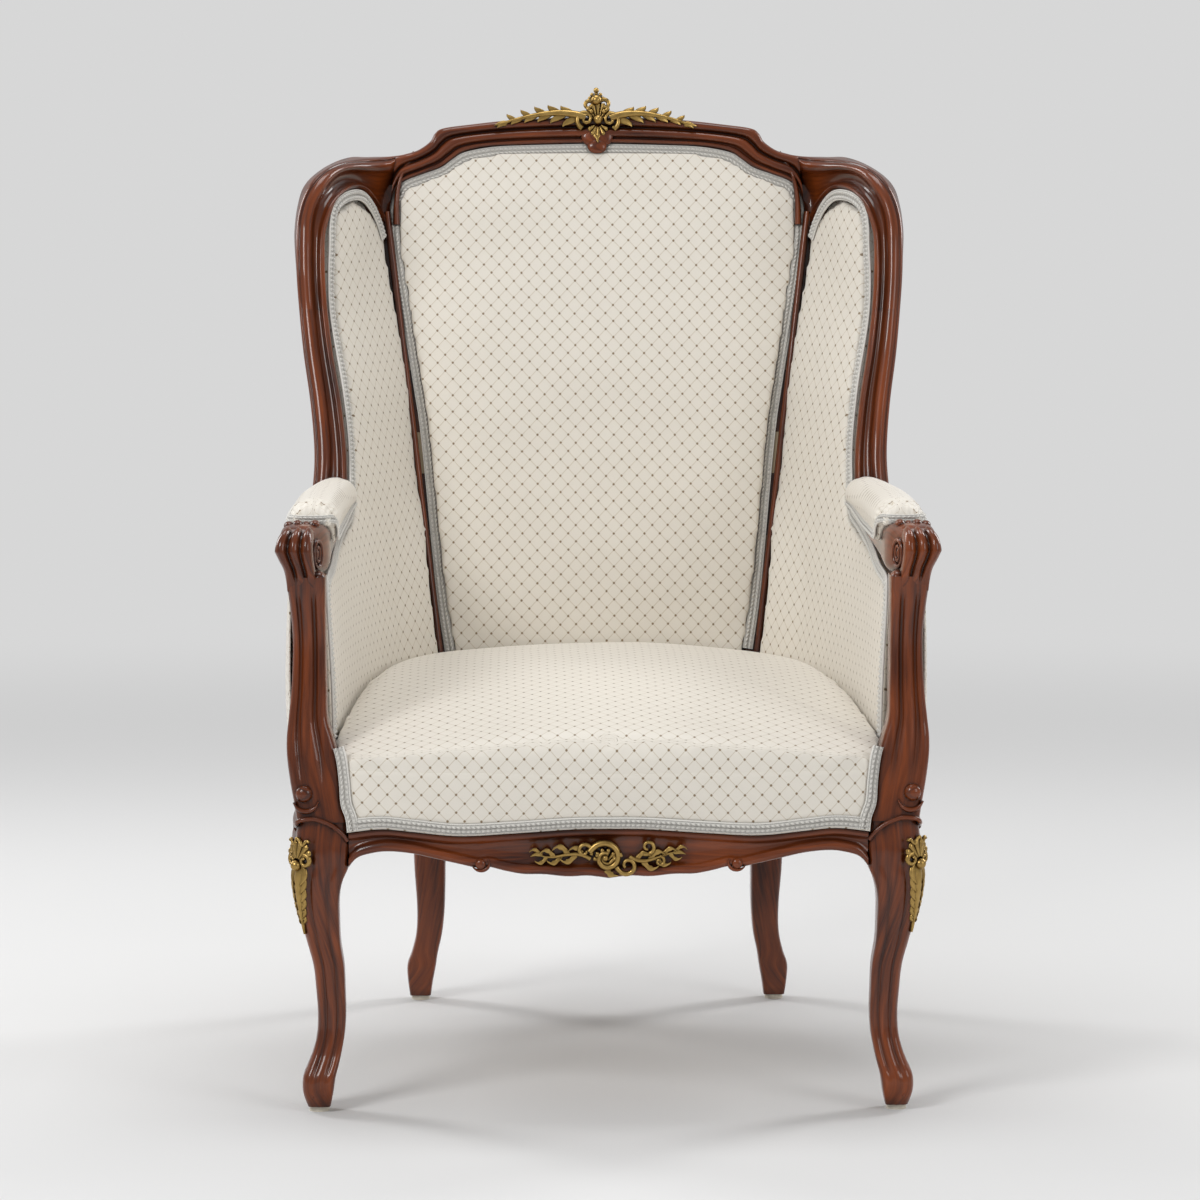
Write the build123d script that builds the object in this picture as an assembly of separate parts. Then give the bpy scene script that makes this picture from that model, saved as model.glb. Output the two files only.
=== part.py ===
from build123d import *
from math import cos, hypot, radians, sin, tan
import os

os.makedirs("parts", exist_ok=True)

# Winged bergere armchair. Millimetres, +Z up, +X to the viewer's right, the front faces -Y.
# x is measured from the chair's middle, y from the middle of its depth, z from the floor.

# Heights above the floor
glide_height = 6.0
leg_top_z = 322.0  # the arm stump stands here on the front leg
band_top_z = 316.0  # upper edge of the seat rails' shown band
rail_top_z = 345.0
rail_bottom_z = 286.0  # underside of the seat rails between their carved drops
seat_line_z = 444.0  # the seat meets the inside back
seat_crown_z = 466.0
arm_joint_z = 588.0  # the arm rail rests on the stump
arm_top_z = 640.0
wing_joint_z = 858.0  # the wing rail sits on the wing post
crest_top_z = 1083.0

# Half widths from the middle plane
knee_half_width = 341.5
arm_half_width = 357.0
wing_half_width = 359.4
back_half_width = 253.6  # stile's middle line where it meets the crest
back_foot_half_width = 218.0

# Places front to back
seat_front_y = -371.0
knee_front_y = -339.0
apron_front_y = -352.0
post_foot_y = 84.0  # middle of the wing post on the arm rail
post_top_y = 162.0  # middle of the wing post at its upper joint
back_face_y = 234.0  # face of the stile at the seat line
back_foot_y = 326.0
back_lean = 9.83  # degrees

# Wood sections
knee_width = 59.5
knee_depth = 63.0
stump_width = 38.0
stump_depth = 52.0
post_width = 34.0
post_depth = 38.0
crest_depth = 32.0
stile_width = 36.0
stile_depth = 38.0
stile_bead = 8.0
rail_thickness = 32.0
apron_drop = 54.0  # below the band's top at the middle of the apron
proud = 8.0  # shown wood stands this far in front of the upholstery's rebate
rebate = 16.0
edge_round = 7.0
fine_edge = 2.5
bead_width = 19.0
groove_width = 6.0
groove_depth = 3.0
arm_rail_width = 46.0
hidden_rail_width = 30.0
hidden_rail_height = 30.0

# Upholstery
gimp_width = 13.0
gimp_thickness = 4.0
cover_thickness = 2.0
back_crown = 26.0
back_edge_thickness = 7.0
crown_radius = 2100.0
seat_dome_radius = 1500.0
seat_edge_round = 22.0
side_thickness = 26.0
outside_thickness = 4.0
arm_pad_width = 54.0
arm_pad_height = 27.0
arm_pad_front_y = -252.0
arm_pad_wrap = 24.0  # the pad's cover comes down the arm rail's inner side by this much
soft_gap = 0.3
side_gap = 1.5  # between the seat or a braid and the pad beside it
level_step = 7.0  # least height between two sections of the inside wall
wall_steps = 7

# Springs, webbing and small parts
web_width = 50.0
web_thickness = 2.0
web_count = 4
web_z = 296.0
hessian_thickness = 1.5
spring_rise = 40.0  # the tied springs lift the hessian this far above the rails
spring_end_radius = 32.0
spring_waist_radius = 22.0
spring_wire = 4.0
spring_pitch_x = 125.0
spring_pitch_y = 130.0
dowel_radius = 5.0
dowel_length = 44.0
bore_clearance = 0.2
block_leg = 60.0
block_height = 40.0
glide_radius = 11.0
pin_radius = 1.5
pin_length = 12.0
mount_thickness = 5.0
crest_mount_half_width = 131.0
crest_mount_top_z = 1121.0
apron_mount_half_width = 88.0
apron_mount_height = 46.0
knee_mount_width = 34.0
knee_mount_height = 112.0
overrun = 400.0


def lerp(a, b, share):
    return a + (b - a) * share


def back_y(z):
    """Face of the leaning back's rebate plane at a height."""
    return back_face_y + (z - seat_line_z) * tan(radians(back_lean))


BACK_NORMAL = Vector(0, -cos(radians(back_lean)), sin(radians(back_lean)))
BACK = Plane(origin=(0, back_face_y, seat_line_z), x_dir=(1, 0, 0), z_dir=BACK_NORMAL)


def up_the_back(z):
    """Distance along the leaning back from the seat line to a height."""
    return (z - seat_line_z) / cos(radians(back_lean))


def largest(shape):
    return max(shape.solids(), key=lambda s: s.volume)


def cut(shape, *tools):
    """What is left of a piece once its neighbours have taken their room."""
    for tool in tools:
        if tool is not None:
            shape = largest(shape - tool)
    return shape


def mirrored(shape):
    return largest(shape.mirror(Plane.YZ))


def spline_edge(points, start=None, end=None):
    if start is None:
        return Edge.make_spline([Vector(*p) for p in points])
    return Edge.make_spline([Vector(*p) for p in points], tangents=[Vector(*start), Vector(*end)])


def line_edge(a, b):
    return Edge.make_line(Vector(*a), Vector(*b))


def face_of(edges):
    return Face(Wire(edges))


def drawn_in(points, inset):
    """Closed run of (a, b) pairs, anticlockwise, each drawn in along its corner's bisector."""
    count = len(points)
    result = []
    for i, (a, b) in enumerate(points):
        before, after = points[i - 1], points[(i + 1) % count]
        arriving = Vector(a - before[0], b - before[1], 0).normalized()
        leaving = Vector(after[0] - a, after[1] - b, 0).normalized()
        bisector = (arriving + leaving).normalized()
        reach = inset / max(0.5, bisector.dot(arriving))
        result.append((a - bisector.Y * reach, b + bisector.X * reach))
    return result


# Section outlines: u runs from the outer edge to the inner one, v from the front to the back
def moulded(width, depth, bead):
    """Bar with a rounded outer bead and a groove beside it on the front."""
    return [
        (edge_round, 0), (bead, 0), (bead + groove_width / 2, groove_depth),
        (bead + groove_width, 0), (width - fine_edge, 0), (width, fine_edge),
        (width, depth - fine_edge), (width - fine_edge, depth), (edge_round, depth),
        (0, depth - edge_round), (0, edge_round),
    ]


def rebated(width, depth, bead):
    """The same bar with a rebate behind its inner edge, where the upholstery is tacked."""
    return [
        (edge_round, 0), (bead, 0), (bead + groove_width / 2, groove_depth),
        (bead + groove_width, 0), (width - fine_edge, 0), (width, fine_edge), (width, proud),
        (width + rebate, proud), (width + rebate, depth), (edge_round, depth),
        (0, depth - edge_round), (0, edge_round),
    ]


def eased(width, depth, ease):
    """Plain bar with eased corners."""
    return [
        (ease, 0), (width - ease, 0), (width, ease), (width, depth - ease),
        (width - ease, depth), (ease, depth), (0, depth - ease), (0, ease),
    ]


def section(corner, u, v, outline):
    return Wire.make_polygon([corner + u * a + v * b for a, b in outline], close=True)


def level_section(x_outer, y_front, z, outline):
    """Section of an upright on the right side, outer edge towards +X."""
    return section(Vector(x_outer, y_front, z), Vector(-1, 0, 0), Vector(0, 1, 0), outline)


def loft_of(wires):
    return Solid.make_loft(wires)


def straight_loft_of(wires):
    return Solid.make_loft(wires, ruled=True)


def doubled(points):
    """The same run of points with a smoothly placed one added between each two."""
    last = len(points) - 1
    result = []
    for i in range(last):
        near, far = points[i], points[i + 1]
        beyond = points[max(i - 1, 0)] + points[min(i + 2, last)]
        result += [near, (near + far) * 0.5625 - beyond * 0.0625]
    return result + [points[last]]


def doubled_spokes(spokes):
    return list(zip(doubled([a for a, b in spokes]), doubled([b for a, b in spokes])))


# Front leg: height share of leg_top_z, outer edge as a share of knee_half_width, width as a
# share of knee_width, depth as a share of knee_depth
front_leg_shares = [
    (glide_height / leg_top_z, 0.963, 0.42, 0.44), (0.068, 0.978, 0.56, 0.58),
    (0.118, 0.978, 0.60, 0.60),
    (0.161, 0.962, 0.57, 0.54), (0.205, 0.946, 0.53, 0.49), (0.261, 0.934, 0.513, 0.48),
    (0.332, 0.931, 0.52, 0.49), (0.413, 0.936, 0.54, 0.51), (0.497, 0.944, 0.57, 0.54),
    (0.581, 0.963, 0.62, 0.59), (0.661, 0.982, 0.714, 0.68), (0.736, 0.994, 0.785, 0.77),
    (0.795, 1.0, 0.88, 0.87), (0.85, 1.0, 1.0, 0.96), (0.91, 0.999, 1.0, 1.0),
    (1.0, 0.990, 0.945, 1.0),
]


def leg_section(height_share, outer_share, width_share, depth_share):
    """The cabriole leans out sideways and forwards alike."""
    outer = knee_half_width * outer_share
    front = knee_front_y + (knee_half_width - outer)
    width = knee_width * width_share
    outline = eased(width, knee_depth * depth_share, width * 0.2)
    return level_section(outer, front, leg_top_z * height_share, outline)


def front_leg():
    leg = loft_of([leg_section(*row) for row in front_leg_shares])
    rail_side = Box(overrun, overrun, leg_top_z * 0.155, align=(Align.MAX, Align.CENTER, Align.MAX))
    return cut(leg, Pos(rail_joint_x(), 0, leg_top_z) * rail_side)


def rail_joint_x():
    """The seat rail meets the front leg's inner face here."""
    return knee_half_width - knee_width


# Arm stump: height share between the leg's top and the arm joint, outer edge as a share of
# knee_half_width, inner edge likewise, front as a share of stump_depth behind the knee's front
stump_shares = [
    (0.0, 0.990, 0.826, 0.02, 1.12), (0.08, 1.0, 0.845, 0.06, 1.04), (0.16, 1.011, 0.85, 0.08, 1.0),
    (0.26, 1.021, 0.858, 0.12, 0.94), (0.34, 1.022, 0.875, 0.18, 0.88),
    (0.42, 1.016, 0.892, 0.24, 0.84),
    (0.55, 1.006, 0.895, 0.30, 0.82), (0.72, 1.001, 0.897, 0.32, 0.84),
    (0.86, 1.008, 0.897, 0.26, 0.90),
    (1.0, 1.022, 0.896, 0.16, 1.0),
]


def stump_section(height_share, outer_share, inner_share, back_share, depth_share):
    z = lerp(leg_top_z, arm_joint_z, height_share)
    outer = knee_half_width * outer_share
    width = knee_half_width * (outer_share - inner_share)
    front = knee_front_y + stump_depth * back_share
    outline = moulded(width, stump_depth * depth_share, width * 0.5)
    return level_section(outer, front, z, outline)


def arm_stump():
    return loft_of([stump_section(*row) for row in stump_shares])


# Arm rail: place share from the knuckle's front to the wing post's foot, outer edge as a share
# of arm_half_width, width as a share of arm_rail_width, lower and upper edges as shares of the
# height from the arm joint to the arm's top
arm_rail_shares = [
    (0.0, 0.972, 0.80, 0.22, 0.84), (0.025, 1.0, 1.12, 0.04, 1.06), (0.07, 1.003, 1.16, -0.04, 1.15),
    (0.13, 0.993, 1.10, -0.04, 1.08), (0.19, 0.984, 1.04, -0.02, 0.99), (0.35, 0.982, 1.02, 0.10, 0.99),
    (0.6, 0.975, 1.0, 0.22, 0.99), (0.85, 0.958, 0.92, 0.28, 0.99), (1.0, 0.942, 0.88, 0.30, 0.99),
]
# Behind the post the rail is hidden and runs to the stile: x and y shares of that run
hidden_rail_shares = [(0.28, 0.42), (0.62, 0.76), (1.0, 1.0)]


def arm_rail_section(place_share, outer_share, width_share, low_share, high_share):
    y = lerp(knee_front_y + rail_thickness * 0.1, post_foot_y, place_share)
    low = lerp(arm_joint_z, arm_top_z, low_share)
    high = lerp(arm_joint_z, arm_top_z, high_share)
    width = arm_rail_width * width_share
    corner = Vector(arm_half_width * outer_share, y, high)
    outline = eased(width, high - low, min(edge_round, (high - low) * 0.3))
    return section(corner, Vector(-1, 0, 0), Vector(0, 0, -1), outline)


def stile_x(z):
    """Middle line of the stile's shown bead."""
    share = (z - seat_line_z) / (wing_joint_z - seat_line_z)
    foot = back_half_width * 0.757
    return lerp(foot, back_half_width * 0.953, share)


def arm_rail():
    shown = [arm_rail_section(*row) for row in arm_rail_shares]
    start = Vector(arm_half_width * 0.942 - arm_rail_width * 0.44, post_foot_y, 0)
    end = Vector(stile_x(arm_top_z), back_y(arm_top_z) + stile_depth / 2, 0)
    for x_share, y_share in hidden_rail_shares:
        middle = Vector(lerp(start.X, end.X, x_share), lerp(start.Y, end.Y, y_share), arm_top_z)
        across = Vector(-(end.Y - start.Y), end.X - start.X, 0).normalized()
        across = Vector(-1, 0, 0) * (1 - y_share) + across * y_share
        across = across.normalized()
        corner = middle - across * (hidden_rail_width / 2)
        outline = eased(hidden_rail_width, hidden_rail_height, fine_edge)
        shown.append(section(corner, across, Vector(0, 0, -1), outline))
    return loft_of(shown)


# Wing post: height share from arm top to the joint, outer and inner edges as shares of
# wing_half_width, place share from the post's foot to its top
wing_post_shares = [
    (-0.12, 0.956, 0.815, 0.0), (0.06, 0.937, 0.824, 0.08), (0.25, 0.932, 0.828, 0.25),
    (0.5, 0.946, 0.846, 0.52), (0.76, 0.970, 0.874, 0.79), (1.0, 0.986, 0.893, 1.0),
]


def post_spoke(height_share, outer_share, inner_share, place_share):
    z = lerp(arm_top_z, wing_joint_z, height_share)
    y = lerp(post_foot_y, post_top_y, place_share)
    return Vector(wing_half_width * outer_share, y, z), Vector(wing_half_width * inner_share, y, z)


# Wing rail and crest rail, both from the side towards the middle. Each spoke has an outer and an
# inner end: x share of wing_half_width, height share from wing joint to crest top, and place
# share from the wing post's top to the leaning back.
wing_rail_shares = [
    ((0.986, 0.0, 0.0), (0.893, 0.0, 0.0)), ((0.996, 0.187, 0.05), (0.902, 0.178, 0.055)),
    ((1.0, 0.376, 0.10), (0.905, 0.338, 0.115)), ((0.994, 0.489, 0.145), (0.899, 0.418, 0.155)),
    ((0.977, 0.587, 0.19), (0.882, 0.507, 0.225)), ((0.948, 0.668, 0.25), (0.854, 0.578, 0.36)),
    ((0.907, 0.724, 0.36), (0.815, 0.613, 0.56)), ((0.854, 0.762, 0.53), (0.782, 0.596, 0.74)),
    ((0.787, 0.778, 0.70), (0.746, 0.52, 0.93)), ((0.729, 0.784, 0.89), (0.722, 0.43, 1.0)),
    ((0.679, 0.791, 1.0), (0.700, 0.50, 1.0)),
]
crest_shares = [
    ((0.679, 0.791), (0.700, 0.50)), ((0.665, 0.794), (0.686, 0.585)), ((0.648, 0.80), (0.656, 0.648)),
    ((0.604, 0.822), (0.593, 0.689)), ((0.565, 0.866), (0.531, 0.726)), ((0.548, 0.91), (0.49, 0.769)),
    ((0.520, 0.938), (0.448, 0.812)), ((0.431, 0.958), (0.37, 0.838)), ((0.292, 0.982), (0.256, 0.848)),
    ((0.139, 0.996), (0.125, 0.854)), ((0.0, 1.0), (0.0, 0.856)),
]


def wing_point(x_share, height_share, place_share):
    z = lerp(wing_joint_z, crest_top_z, height_share)
    y = lerp(post_top_y, back_y(z), place_share)
    return Vector(wing_half_width * x_share, y, z)


def spoke_section(outer, inner, back, depth, front_offset, outline_of, bead):
    """Section that stands on a spoke and goes back from it."""
    along = inner - outer
    u = along.normalized()
    v = (back - u * back.dot(u)).normalized()
    outline = outline_of(along.length, depth, bead)
    return section(outer - v * front_offset, u, v, outline)


def wing_post():
    wires = []
    for row in wing_post_shares:
        outer, inner = post_spoke(*row)
        width = (inner - outer).length
        wires.append(spoke_section(outer, inner, Vector(0, 1, 0), post_depth, post_depth / 2,
                                   moulded, width * 0.56))
    return loft_of(wires)


def wing_rail():
    spokes = [(wing_point(*outer), wing_point(*inner)) for outer, inner in wing_rail_shares]
    spokes = doubled_spokes(spokes)
    middles = [(outer + inner) * 0.5 for outer, inner in spokes]
    last = len(spokes) - 1
    wires = []
    for i, (outer, inner) in enumerate(spokes):
        run = middles[min(i + 1, last)] - middles[max(i - 1, 0)]
        back = (inner - outer).cross(run)
        back = Vector(0, 1, 0) if i == 0 else back
        back = BACK_NORMAL * -1 if i == last else back
        share = min(1.0, i / (last - 4))
        depth = lerp(post_depth, crest_depth, share)
        offset = lerp(post_depth / 2, proud, share)
        wires.append(spoke_section(outer, inner, back, depth, offset, moulded, bead_width))
    return straight_loft_of(wires)


def crest_rail():
    spokes = [(wing_point(*outer, 1.0), wing_point(*inner, 1.0)) for outer, inner in crest_shares]
    wires = []
    for outer, inner in doubled_spokes(spokes):
        wires.append(spoke_section(outer, inner, BACK_NORMAL * -1, crest_depth, proud, rebated,
                                   bead_width * 0.7))
    half = straight_loft_of(wires)
    return largest(half + half.mirror(Plane.YZ))


# Back post from the floor: height share of seat_line_z, middle as a share of the way from the
# foot's half width to the stile's foot, width share of stile_width, place share from the seat
# line's middle back to the foot, depth share of stile_depth
back_leg_shares = [
    (glide_height / seat_line_z, 0.0, 0.72, 1.0, 0.70), (0.05, 0.0, 0.84, 0.97, 0.82),
    (0.10, 0.06, 0.98, 0.90, 0.92),
    (0.14, 0.22, 0.90, 0.82, 0.86), (0.20, 0.44, 0.89, 0.68, 0.84), (0.28, 0.53, 0.95, 0.49, 0.88),
    (0.405, 0.50, 1.07, 0.27, 0.98), (0.56, 0.50, 1.10, 0.08, 1.05), (0.72, 0.62, 1.08, -0.03, 1.08),
    (0.86, 0.82, 1.02, -0.04, 1.02), (1.0, 1.0, 1.0, 0.0, 1.0),
]


def back_post():
    foot_x = stile_x(seat_line_z)
    middle_y = back_face_y + stile_depth / 2
    wires = []
    for height_share, x_share, width_share, place_share, depth_share in back_leg_shares:
        middle = Vector(lerp(back_foot_half_width, foot_x, x_share),
                        lerp(middle_y, back_foot_y, place_share), seat_line_z * height_share)
        width = stile_width * width_share
        depth = stile_depth * depth_share
        wires.append(level_section(middle.X + width / 2, middle.Y - depth / 2, middle.Z,
                                   eased(width, depth, width * 0.16)))
    leg = loft_of(wires)
    top_z = lerp(wing_joint_z, crest_top_z, 0.52)
    ends = []
    for z in (seat_line_z, top_z):
        ends.append(level_section(stile_x(z) + stile_width / 2, back_y(z) + soft_gap * 2, z,
                                  eased(stile_width, stile_depth, stile_width * 0.16)))
    stile = Solid.make_loft(ends, ruled=True)
    bead = []
    for z in (rail_top_z, top_z):
        bead.append(level_section(stile_x(z) + stile_bead / 2, back_y(z) - proud, z,
                                  eased(stile_bead, proud * 1.5, fine_edge)))
    return largest(leg + stile + Solid.make_loft(bead, ruled=True))


# Seat plan: right-hand outer face of the side rail, as shares of knee_half_width and of the
# run from the front leg's back to the back post's front
side_rail_plan_shares = [(1.0, -0.10), (1.018, 0.16), (0.985, 0.42), (0.88, 0.70), (0.74, 0.90),
                         (0.64, 1.06)]


def side_run(share):
    return lerp(knee_front_y + knee_depth, back_face_y, share)


def rail_plan(inset):
    """Points of the side rail's plan curve, moved towards the seat."""
    points = []
    last = len(side_rail_plan_shares) - 1
    places = [(knee_half_width * a, side_run(b)) for a, b in side_rail_plan_shares]
    for i, (x, y) in enumerate(places):
        ahead = places[min(i + 1, last)]
        behind = places[max(i - 1, 0)]
        dx, dy = ahead[0] - behind[0], ahead[1] - behind[1]
        size = hypot(dx, dy)
        points.append((x - inset * dy / size, y + inset * dx / size))
    return points


def plan_strip(inset, thickness, low, high):
    """Upright curved board that follows the side rail's plan."""
    outer = [(x, y, low) for x, y in rail_plan(inset)]
    inner = [(x, y, low) for x, y in rail_plan(inset + thickness)]
    edges = [spline_edge(outer), line_edge(outer[-1], inner[-1]),
             spline_edge(list(reversed(inner))), line_edge(inner[0], outer[0])]
    return extrude(face_of(edges), amount=high - low, dir=(0, 0, 1))


# Lower edge of the side rail: run share, and drop share of apron_drop below the band's top
side_apron_shares = [(-0.1, 0.60), (0.08, 0.62), (0.22, 0.50), (0.38, 0.62), (0.52, 0.70),
                     (0.68, 0.60), (0.84, 0.52), (1.06, 0.56)]


def seat_rail_side():
    """Side rail with a serpentine lower edge and the band standing proud of the rebate."""
    low = [(0, side_run(a), band_top_z - apron_drop * b) for a, b in side_apron_shares]
    top_back = (0, low[-1][1], rail_top_z)
    top_front = (0, low[0][1], rail_top_z)
    profile = face_of([spline_edge(low), line_edge(low[-1], top_back),
                       line_edge(top_back, top_front), line_edge(top_front, low[0])])
    block = extrude(profile, amount=overrun, dir=(1, 0, 0))
    board = largest(block & plan_strip(0, rail_thickness, 0, rail_top_z))
    return cut(board, plan_strip(-proud, 2 * proud, band_top_z, rail_top_z + proud))


# Lower edge of the apron from the middle to the leg: x share of the rail joint, drop share of
# apron_drop below the band's top
apron_shares = [
    (0.0, 1.0), (0.08, 0.95), (0.16, 0.965), (0.25, 0.92), (0.33, 0.915), (0.40, 0.85),
    (0.46, 0.775), (0.50, 0.80), (0.56, 0.735), (0.66, 0.62), (0.76, 0.51), (0.86, 0.475),
    (0.94, 0.55), (0.975, 0.64), (1.0, 0.80),
]
# Upper edge of the apron's shown band: x share of the rail joint, drop share of apron_drop
apron_top_shares = [(0.0, -0.05), (0.14, -0.04), (0.36, 0.04), (0.57, 0.10), (0.75, 0.02),
                    (0.87, -0.03), (1.0, 0.05)]


def bow(inset, reach):
    """Front bow of the seat in plan, between the two front legs."""
    x = reach
    shares = [(-1.0, 1.0), (-0.62, 0.42), (-0.3, 0.10), (0.0, 0.0), (0.3, 0.10), (0.62, 0.42),
              (1.0, 1.0)]
    return [(x * a, lerp(apron_front_y, knee_front_y, b) + inset) for a, b in shares]


def bow_strip(inset, thickness, low, high):
    reach = rail_joint_x() + proud
    front = [(x, y, low) for x, y in bow(inset, reach)]
    back = [(x, y, low) for x, y in bow(inset + thickness, reach)]
    edges = [spline_edge(front), line_edge(front[-1], back[-1]),
             spline_edge(list(reversed(back))), line_edge(back[0], front[0])]
    return extrude(face_of(edges), amount=high - low, dir=(0, 0, 1))


def elevation(shares, top_z):
    """Front elevation between an edge given by shares and a level line, both sides alike."""
    right = [(rail_joint_x() * a, 0, band_top_z - apron_drop * b) for a, b in shares]
    points = [(-x, y, z) for x, y, z in reversed(right[1:])] + right
    a, b = points[0], points[-1]
    top_b, top_a = (b[0], 0, top_z), (a[0], 0, top_z)
    edges = [spline_edge(points), line_edge(b, top_b), line_edge(top_b, top_a), line_edge(top_a, a)]
    return extrude(face_of(edges), amount=overrun, dir=(0, 1, 0), both=True)


def seat_rail_front():
    board = largest(elevation(apron_shares, rail_top_z) & bow_strip(0, rail_thickness, 0, rail_top_z))
    front = bow_strip(-proud, 2 * proud, 0, crest_top_z)
    step = elevation(apron_top_shares, rail_top_z + proud) & front
    return cut(board, step)


def seat_rail_rear(post):
    """Straight rail between the back posts, under the inside back."""
    width = 2 * stile_x(seat_line_z)
    rail = Box(width, rail_thickness, rail_top_z - rail_bottom_z,
               align=(Align.CENTER, Align.MIN, Align.MIN))
    rail = Pos(0, back_face_y, rail_bottom_z) * rail
    return cut(largest(rail), post, mirrored(post))


def back_bottom_rail(post):
    """Hidden rail behind the foot of the inside back."""
    width = 2 * stile_x(seat_line_z)
    rail = Box(width, rail_thickness * 0.7, rail_thickness,
               align=(Align.CENTER, Align.MIN, Align.MAX))
    rail = Pos(0, back_y(seat_line_z), seat_line_z - gimp_width) * rail
    return cut(largest(rail), post, mirrored(post))


# Inside back outline from the foot to the middle of the top: x share of back_half_width and
# height share from the seat line to the inside top of the crest
back_side_shares = [(0.733, 0.0), (0.777, 0.127), (0.842, 0.409), (0.885, 0.530), (0.985, 0.780),
                    (0.992, 0.850)]
back_top_shares = [
    (0.992, 0.850), (0.984, 0.884), (0.961, 0.909), (0.919, 0.926), (0.840, 0.939), (0.751, 0.952),
    (0.690, 0.970), (0.634, 0.983), (0.50, 0.9935), (0.327, 0.997), (0.0, 1.0),
]


def inside_top_z():
    return lerp(wing_joint_z, crest_top_z, 0.856)


def back_outline(inset):
    """Opening of the back frame in the leaning back's own plane, drawn in by an inset."""
    shares = back_side_shares + back_top_shares[1:]
    run = up_the_back(inside_top_z())
    right = doubled([Vector(back_half_width * a, run * b, 0) for a, b in shares])
    foot = Vector(right[0].X - gimp_width * 0.2, up_the_back(seat_line_z - gimp_width * 1.5), 0)
    right = [(p.X, p.Y) for p in [foot, *right]]
    left = [(-x, y) for x, y in reversed(right[:-1])]
    return drawn_in(right + left, inset)


def back_prism(inset, low, high):
    """Slice of the inside back between two distances in front of the rebate plane."""
    ring = [BACK.from_local_coords(Vector(x, y, low)) for x, y in back_outline(inset)]
    face = Face(Wire.make_polygon(ring, close=True))
    return largest(extrude(face, amount=high - low, dir=BACK_NORMAL))


def back_crown_at(distance):
    """Height of the back's crown at a distance from its middle."""
    return back_crown - distance ** 2 / (2 * crown_radius)


def back_middle():
    return up_the_back(lerp(seat_line_z, inside_top_z(), 0.42))


def back_pad():
    """Crowned pad of the inside back, thin at its tacked edge."""
    inset = gimp_width + soft_gap
    middle = back_middle()
    centre = BACK.from_local_coords(Vector(0, middle, back_crown - crown_radius))
    ball = Solid.make_sphere(crown_radius, Plane(centre))
    crown = largest(back_prism(inset, soft_gap, back_crown) & ball)
    return largest(crown + back_prism(inset, soft_gap, back_edge_thickness))


def back_gimp(frame):
    ring = back_prism(soft_gap, soft_gap, gimp_thickness)
    return cut(ring, back_prism(gimp_width, -proud, proud * 2), *frame)


def split_pad(pad, shift):
    """Stuffing and its cover: the cover is the layer that a shifted copy leaves."""
    stuffing = largest(pad & pad.moved(Location(shift)))
    return stuffing, cut(pad, pad.moved(Location(shift)))


# Inside wall of the arm and wing in plan, at five heights: x shares of wing_half_width and
# places from the front, as shares of the run from the stump to the back
wall_shares = [
    (rail_top_z, [(0.851, -0.05), (0.818, 0.17), (0.768, 0.45), (0.712, 0.66), (0.637, 0.82),
                  (0.548, 0.92), (0.495, 0.99)]),
    (seat_line_z, [(0.851, -0.05), (0.818, 0.17), (0.768, 0.45), (0.712, 0.66), (0.637, 0.82),
                   (0.548, 0.92), (0.495, 0.99)]),
    (lerp(seat_line_z, arm_top_z, 0.5), [(0.860, -0.05), (0.842, 0.17), (0.808, 0.45), (0.756, 0.66),
                                         (0.680, 0.83), (0.578, 0.95), (0.525, 1.03)]),
    (arm_top_z, [(0.874, -0.05), (0.878, 0.17), (0.868, 0.45), (0.824, 0.66), (0.716, 0.85),
                 (0.609, 1.03), (0.568, 1.10)]),
    (lerp(arm_top_z, wing_joint_z, 0.56), [(0.965, 0.13), (0.942, 0.33), (0.912, 0.52),
                                           (0.853, 0.757), (0.775, 0.863), (0.698, 0.977),
                                           (0.628, 1.09)]),
    (wing_joint_z, [(1.035, 0.225), (1.007, 0.42), (0.963, 0.63), (0.894, 0.832), (0.816, 0.925),
                    (0.746, 1.016), (0.668, 1.127)]),
    (lerp(wing_joint_z, crest_top_z, 0.38), [(1.057, 0.264), (1.03, 0.46), (0.979, 0.67),
                                             (0.904, 0.86), (0.838, 0.95), (0.78, 1.041),
                                             (0.705, 1.16)]),
    (lerp(wing_joint_z, crest_top_z, 0.72), [(1.063, 0.283), (1.035, 0.48), (0.985, 0.69),
                                             (0.908, 0.874), (0.842, 0.968), (0.784, 1.06),
                                             (0.708, 1.18)]),
]


def wall_run(share):
    return lerp(knee_front_y + knee_depth, back_face_y + proud, share)


def wall_rows():
    """Plan curves of the inside wall at close heights, each from its front end to its rear."""
    columns = []
    for k in range(len(wall_shares[0][1])):
        places = [(z, shares[k]) for z, shares in wall_shares]
        columns.append(doubled([Vector(wing_half_width * a, wall_run(b), z) for z, (a, b) in places]))
    return [doubled([column[i] for column in columns]) for i in range(len(columns[0]))]


def row_x(row, y):
    """x of one plan curve at a place from front to back."""
    i = 0
    while i < len(row) - 2 and row[i + 1].Y < y:
        i += 1
    near, far = row[i], row[i + 1]
    return lerp(near.X, far.X, (y - near.Y) / (far.Y - near.Y))


WALL = wall_rows()


def wall_x(y, z):
    """x of the inside wall's face at a place and height."""
    i = 0
    while i < len(WALL) - 2 and WALL[i + 1][0].Z < z:
        i += 1
    near, far = WALL[i], WALL[i + 1]
    share = (z - near[0].Z) / (far[0].Z - near[0].Z)
    return lerp(row_x(near, y), row_x(far, y), share)


def wall_normal(y, z):
    """Direction out of the inside wall's face, towards the sitter."""
    step = gimp_width / 2
    slope = (wall_x(y + step, z) - wall_x(y - step, z)) / (2 * step)
    rise = (wall_x(y, z + step) - wall_x(y, z - step)) / (2 * step)
    return Vector(-1, slope, rise).normalized()


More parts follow.
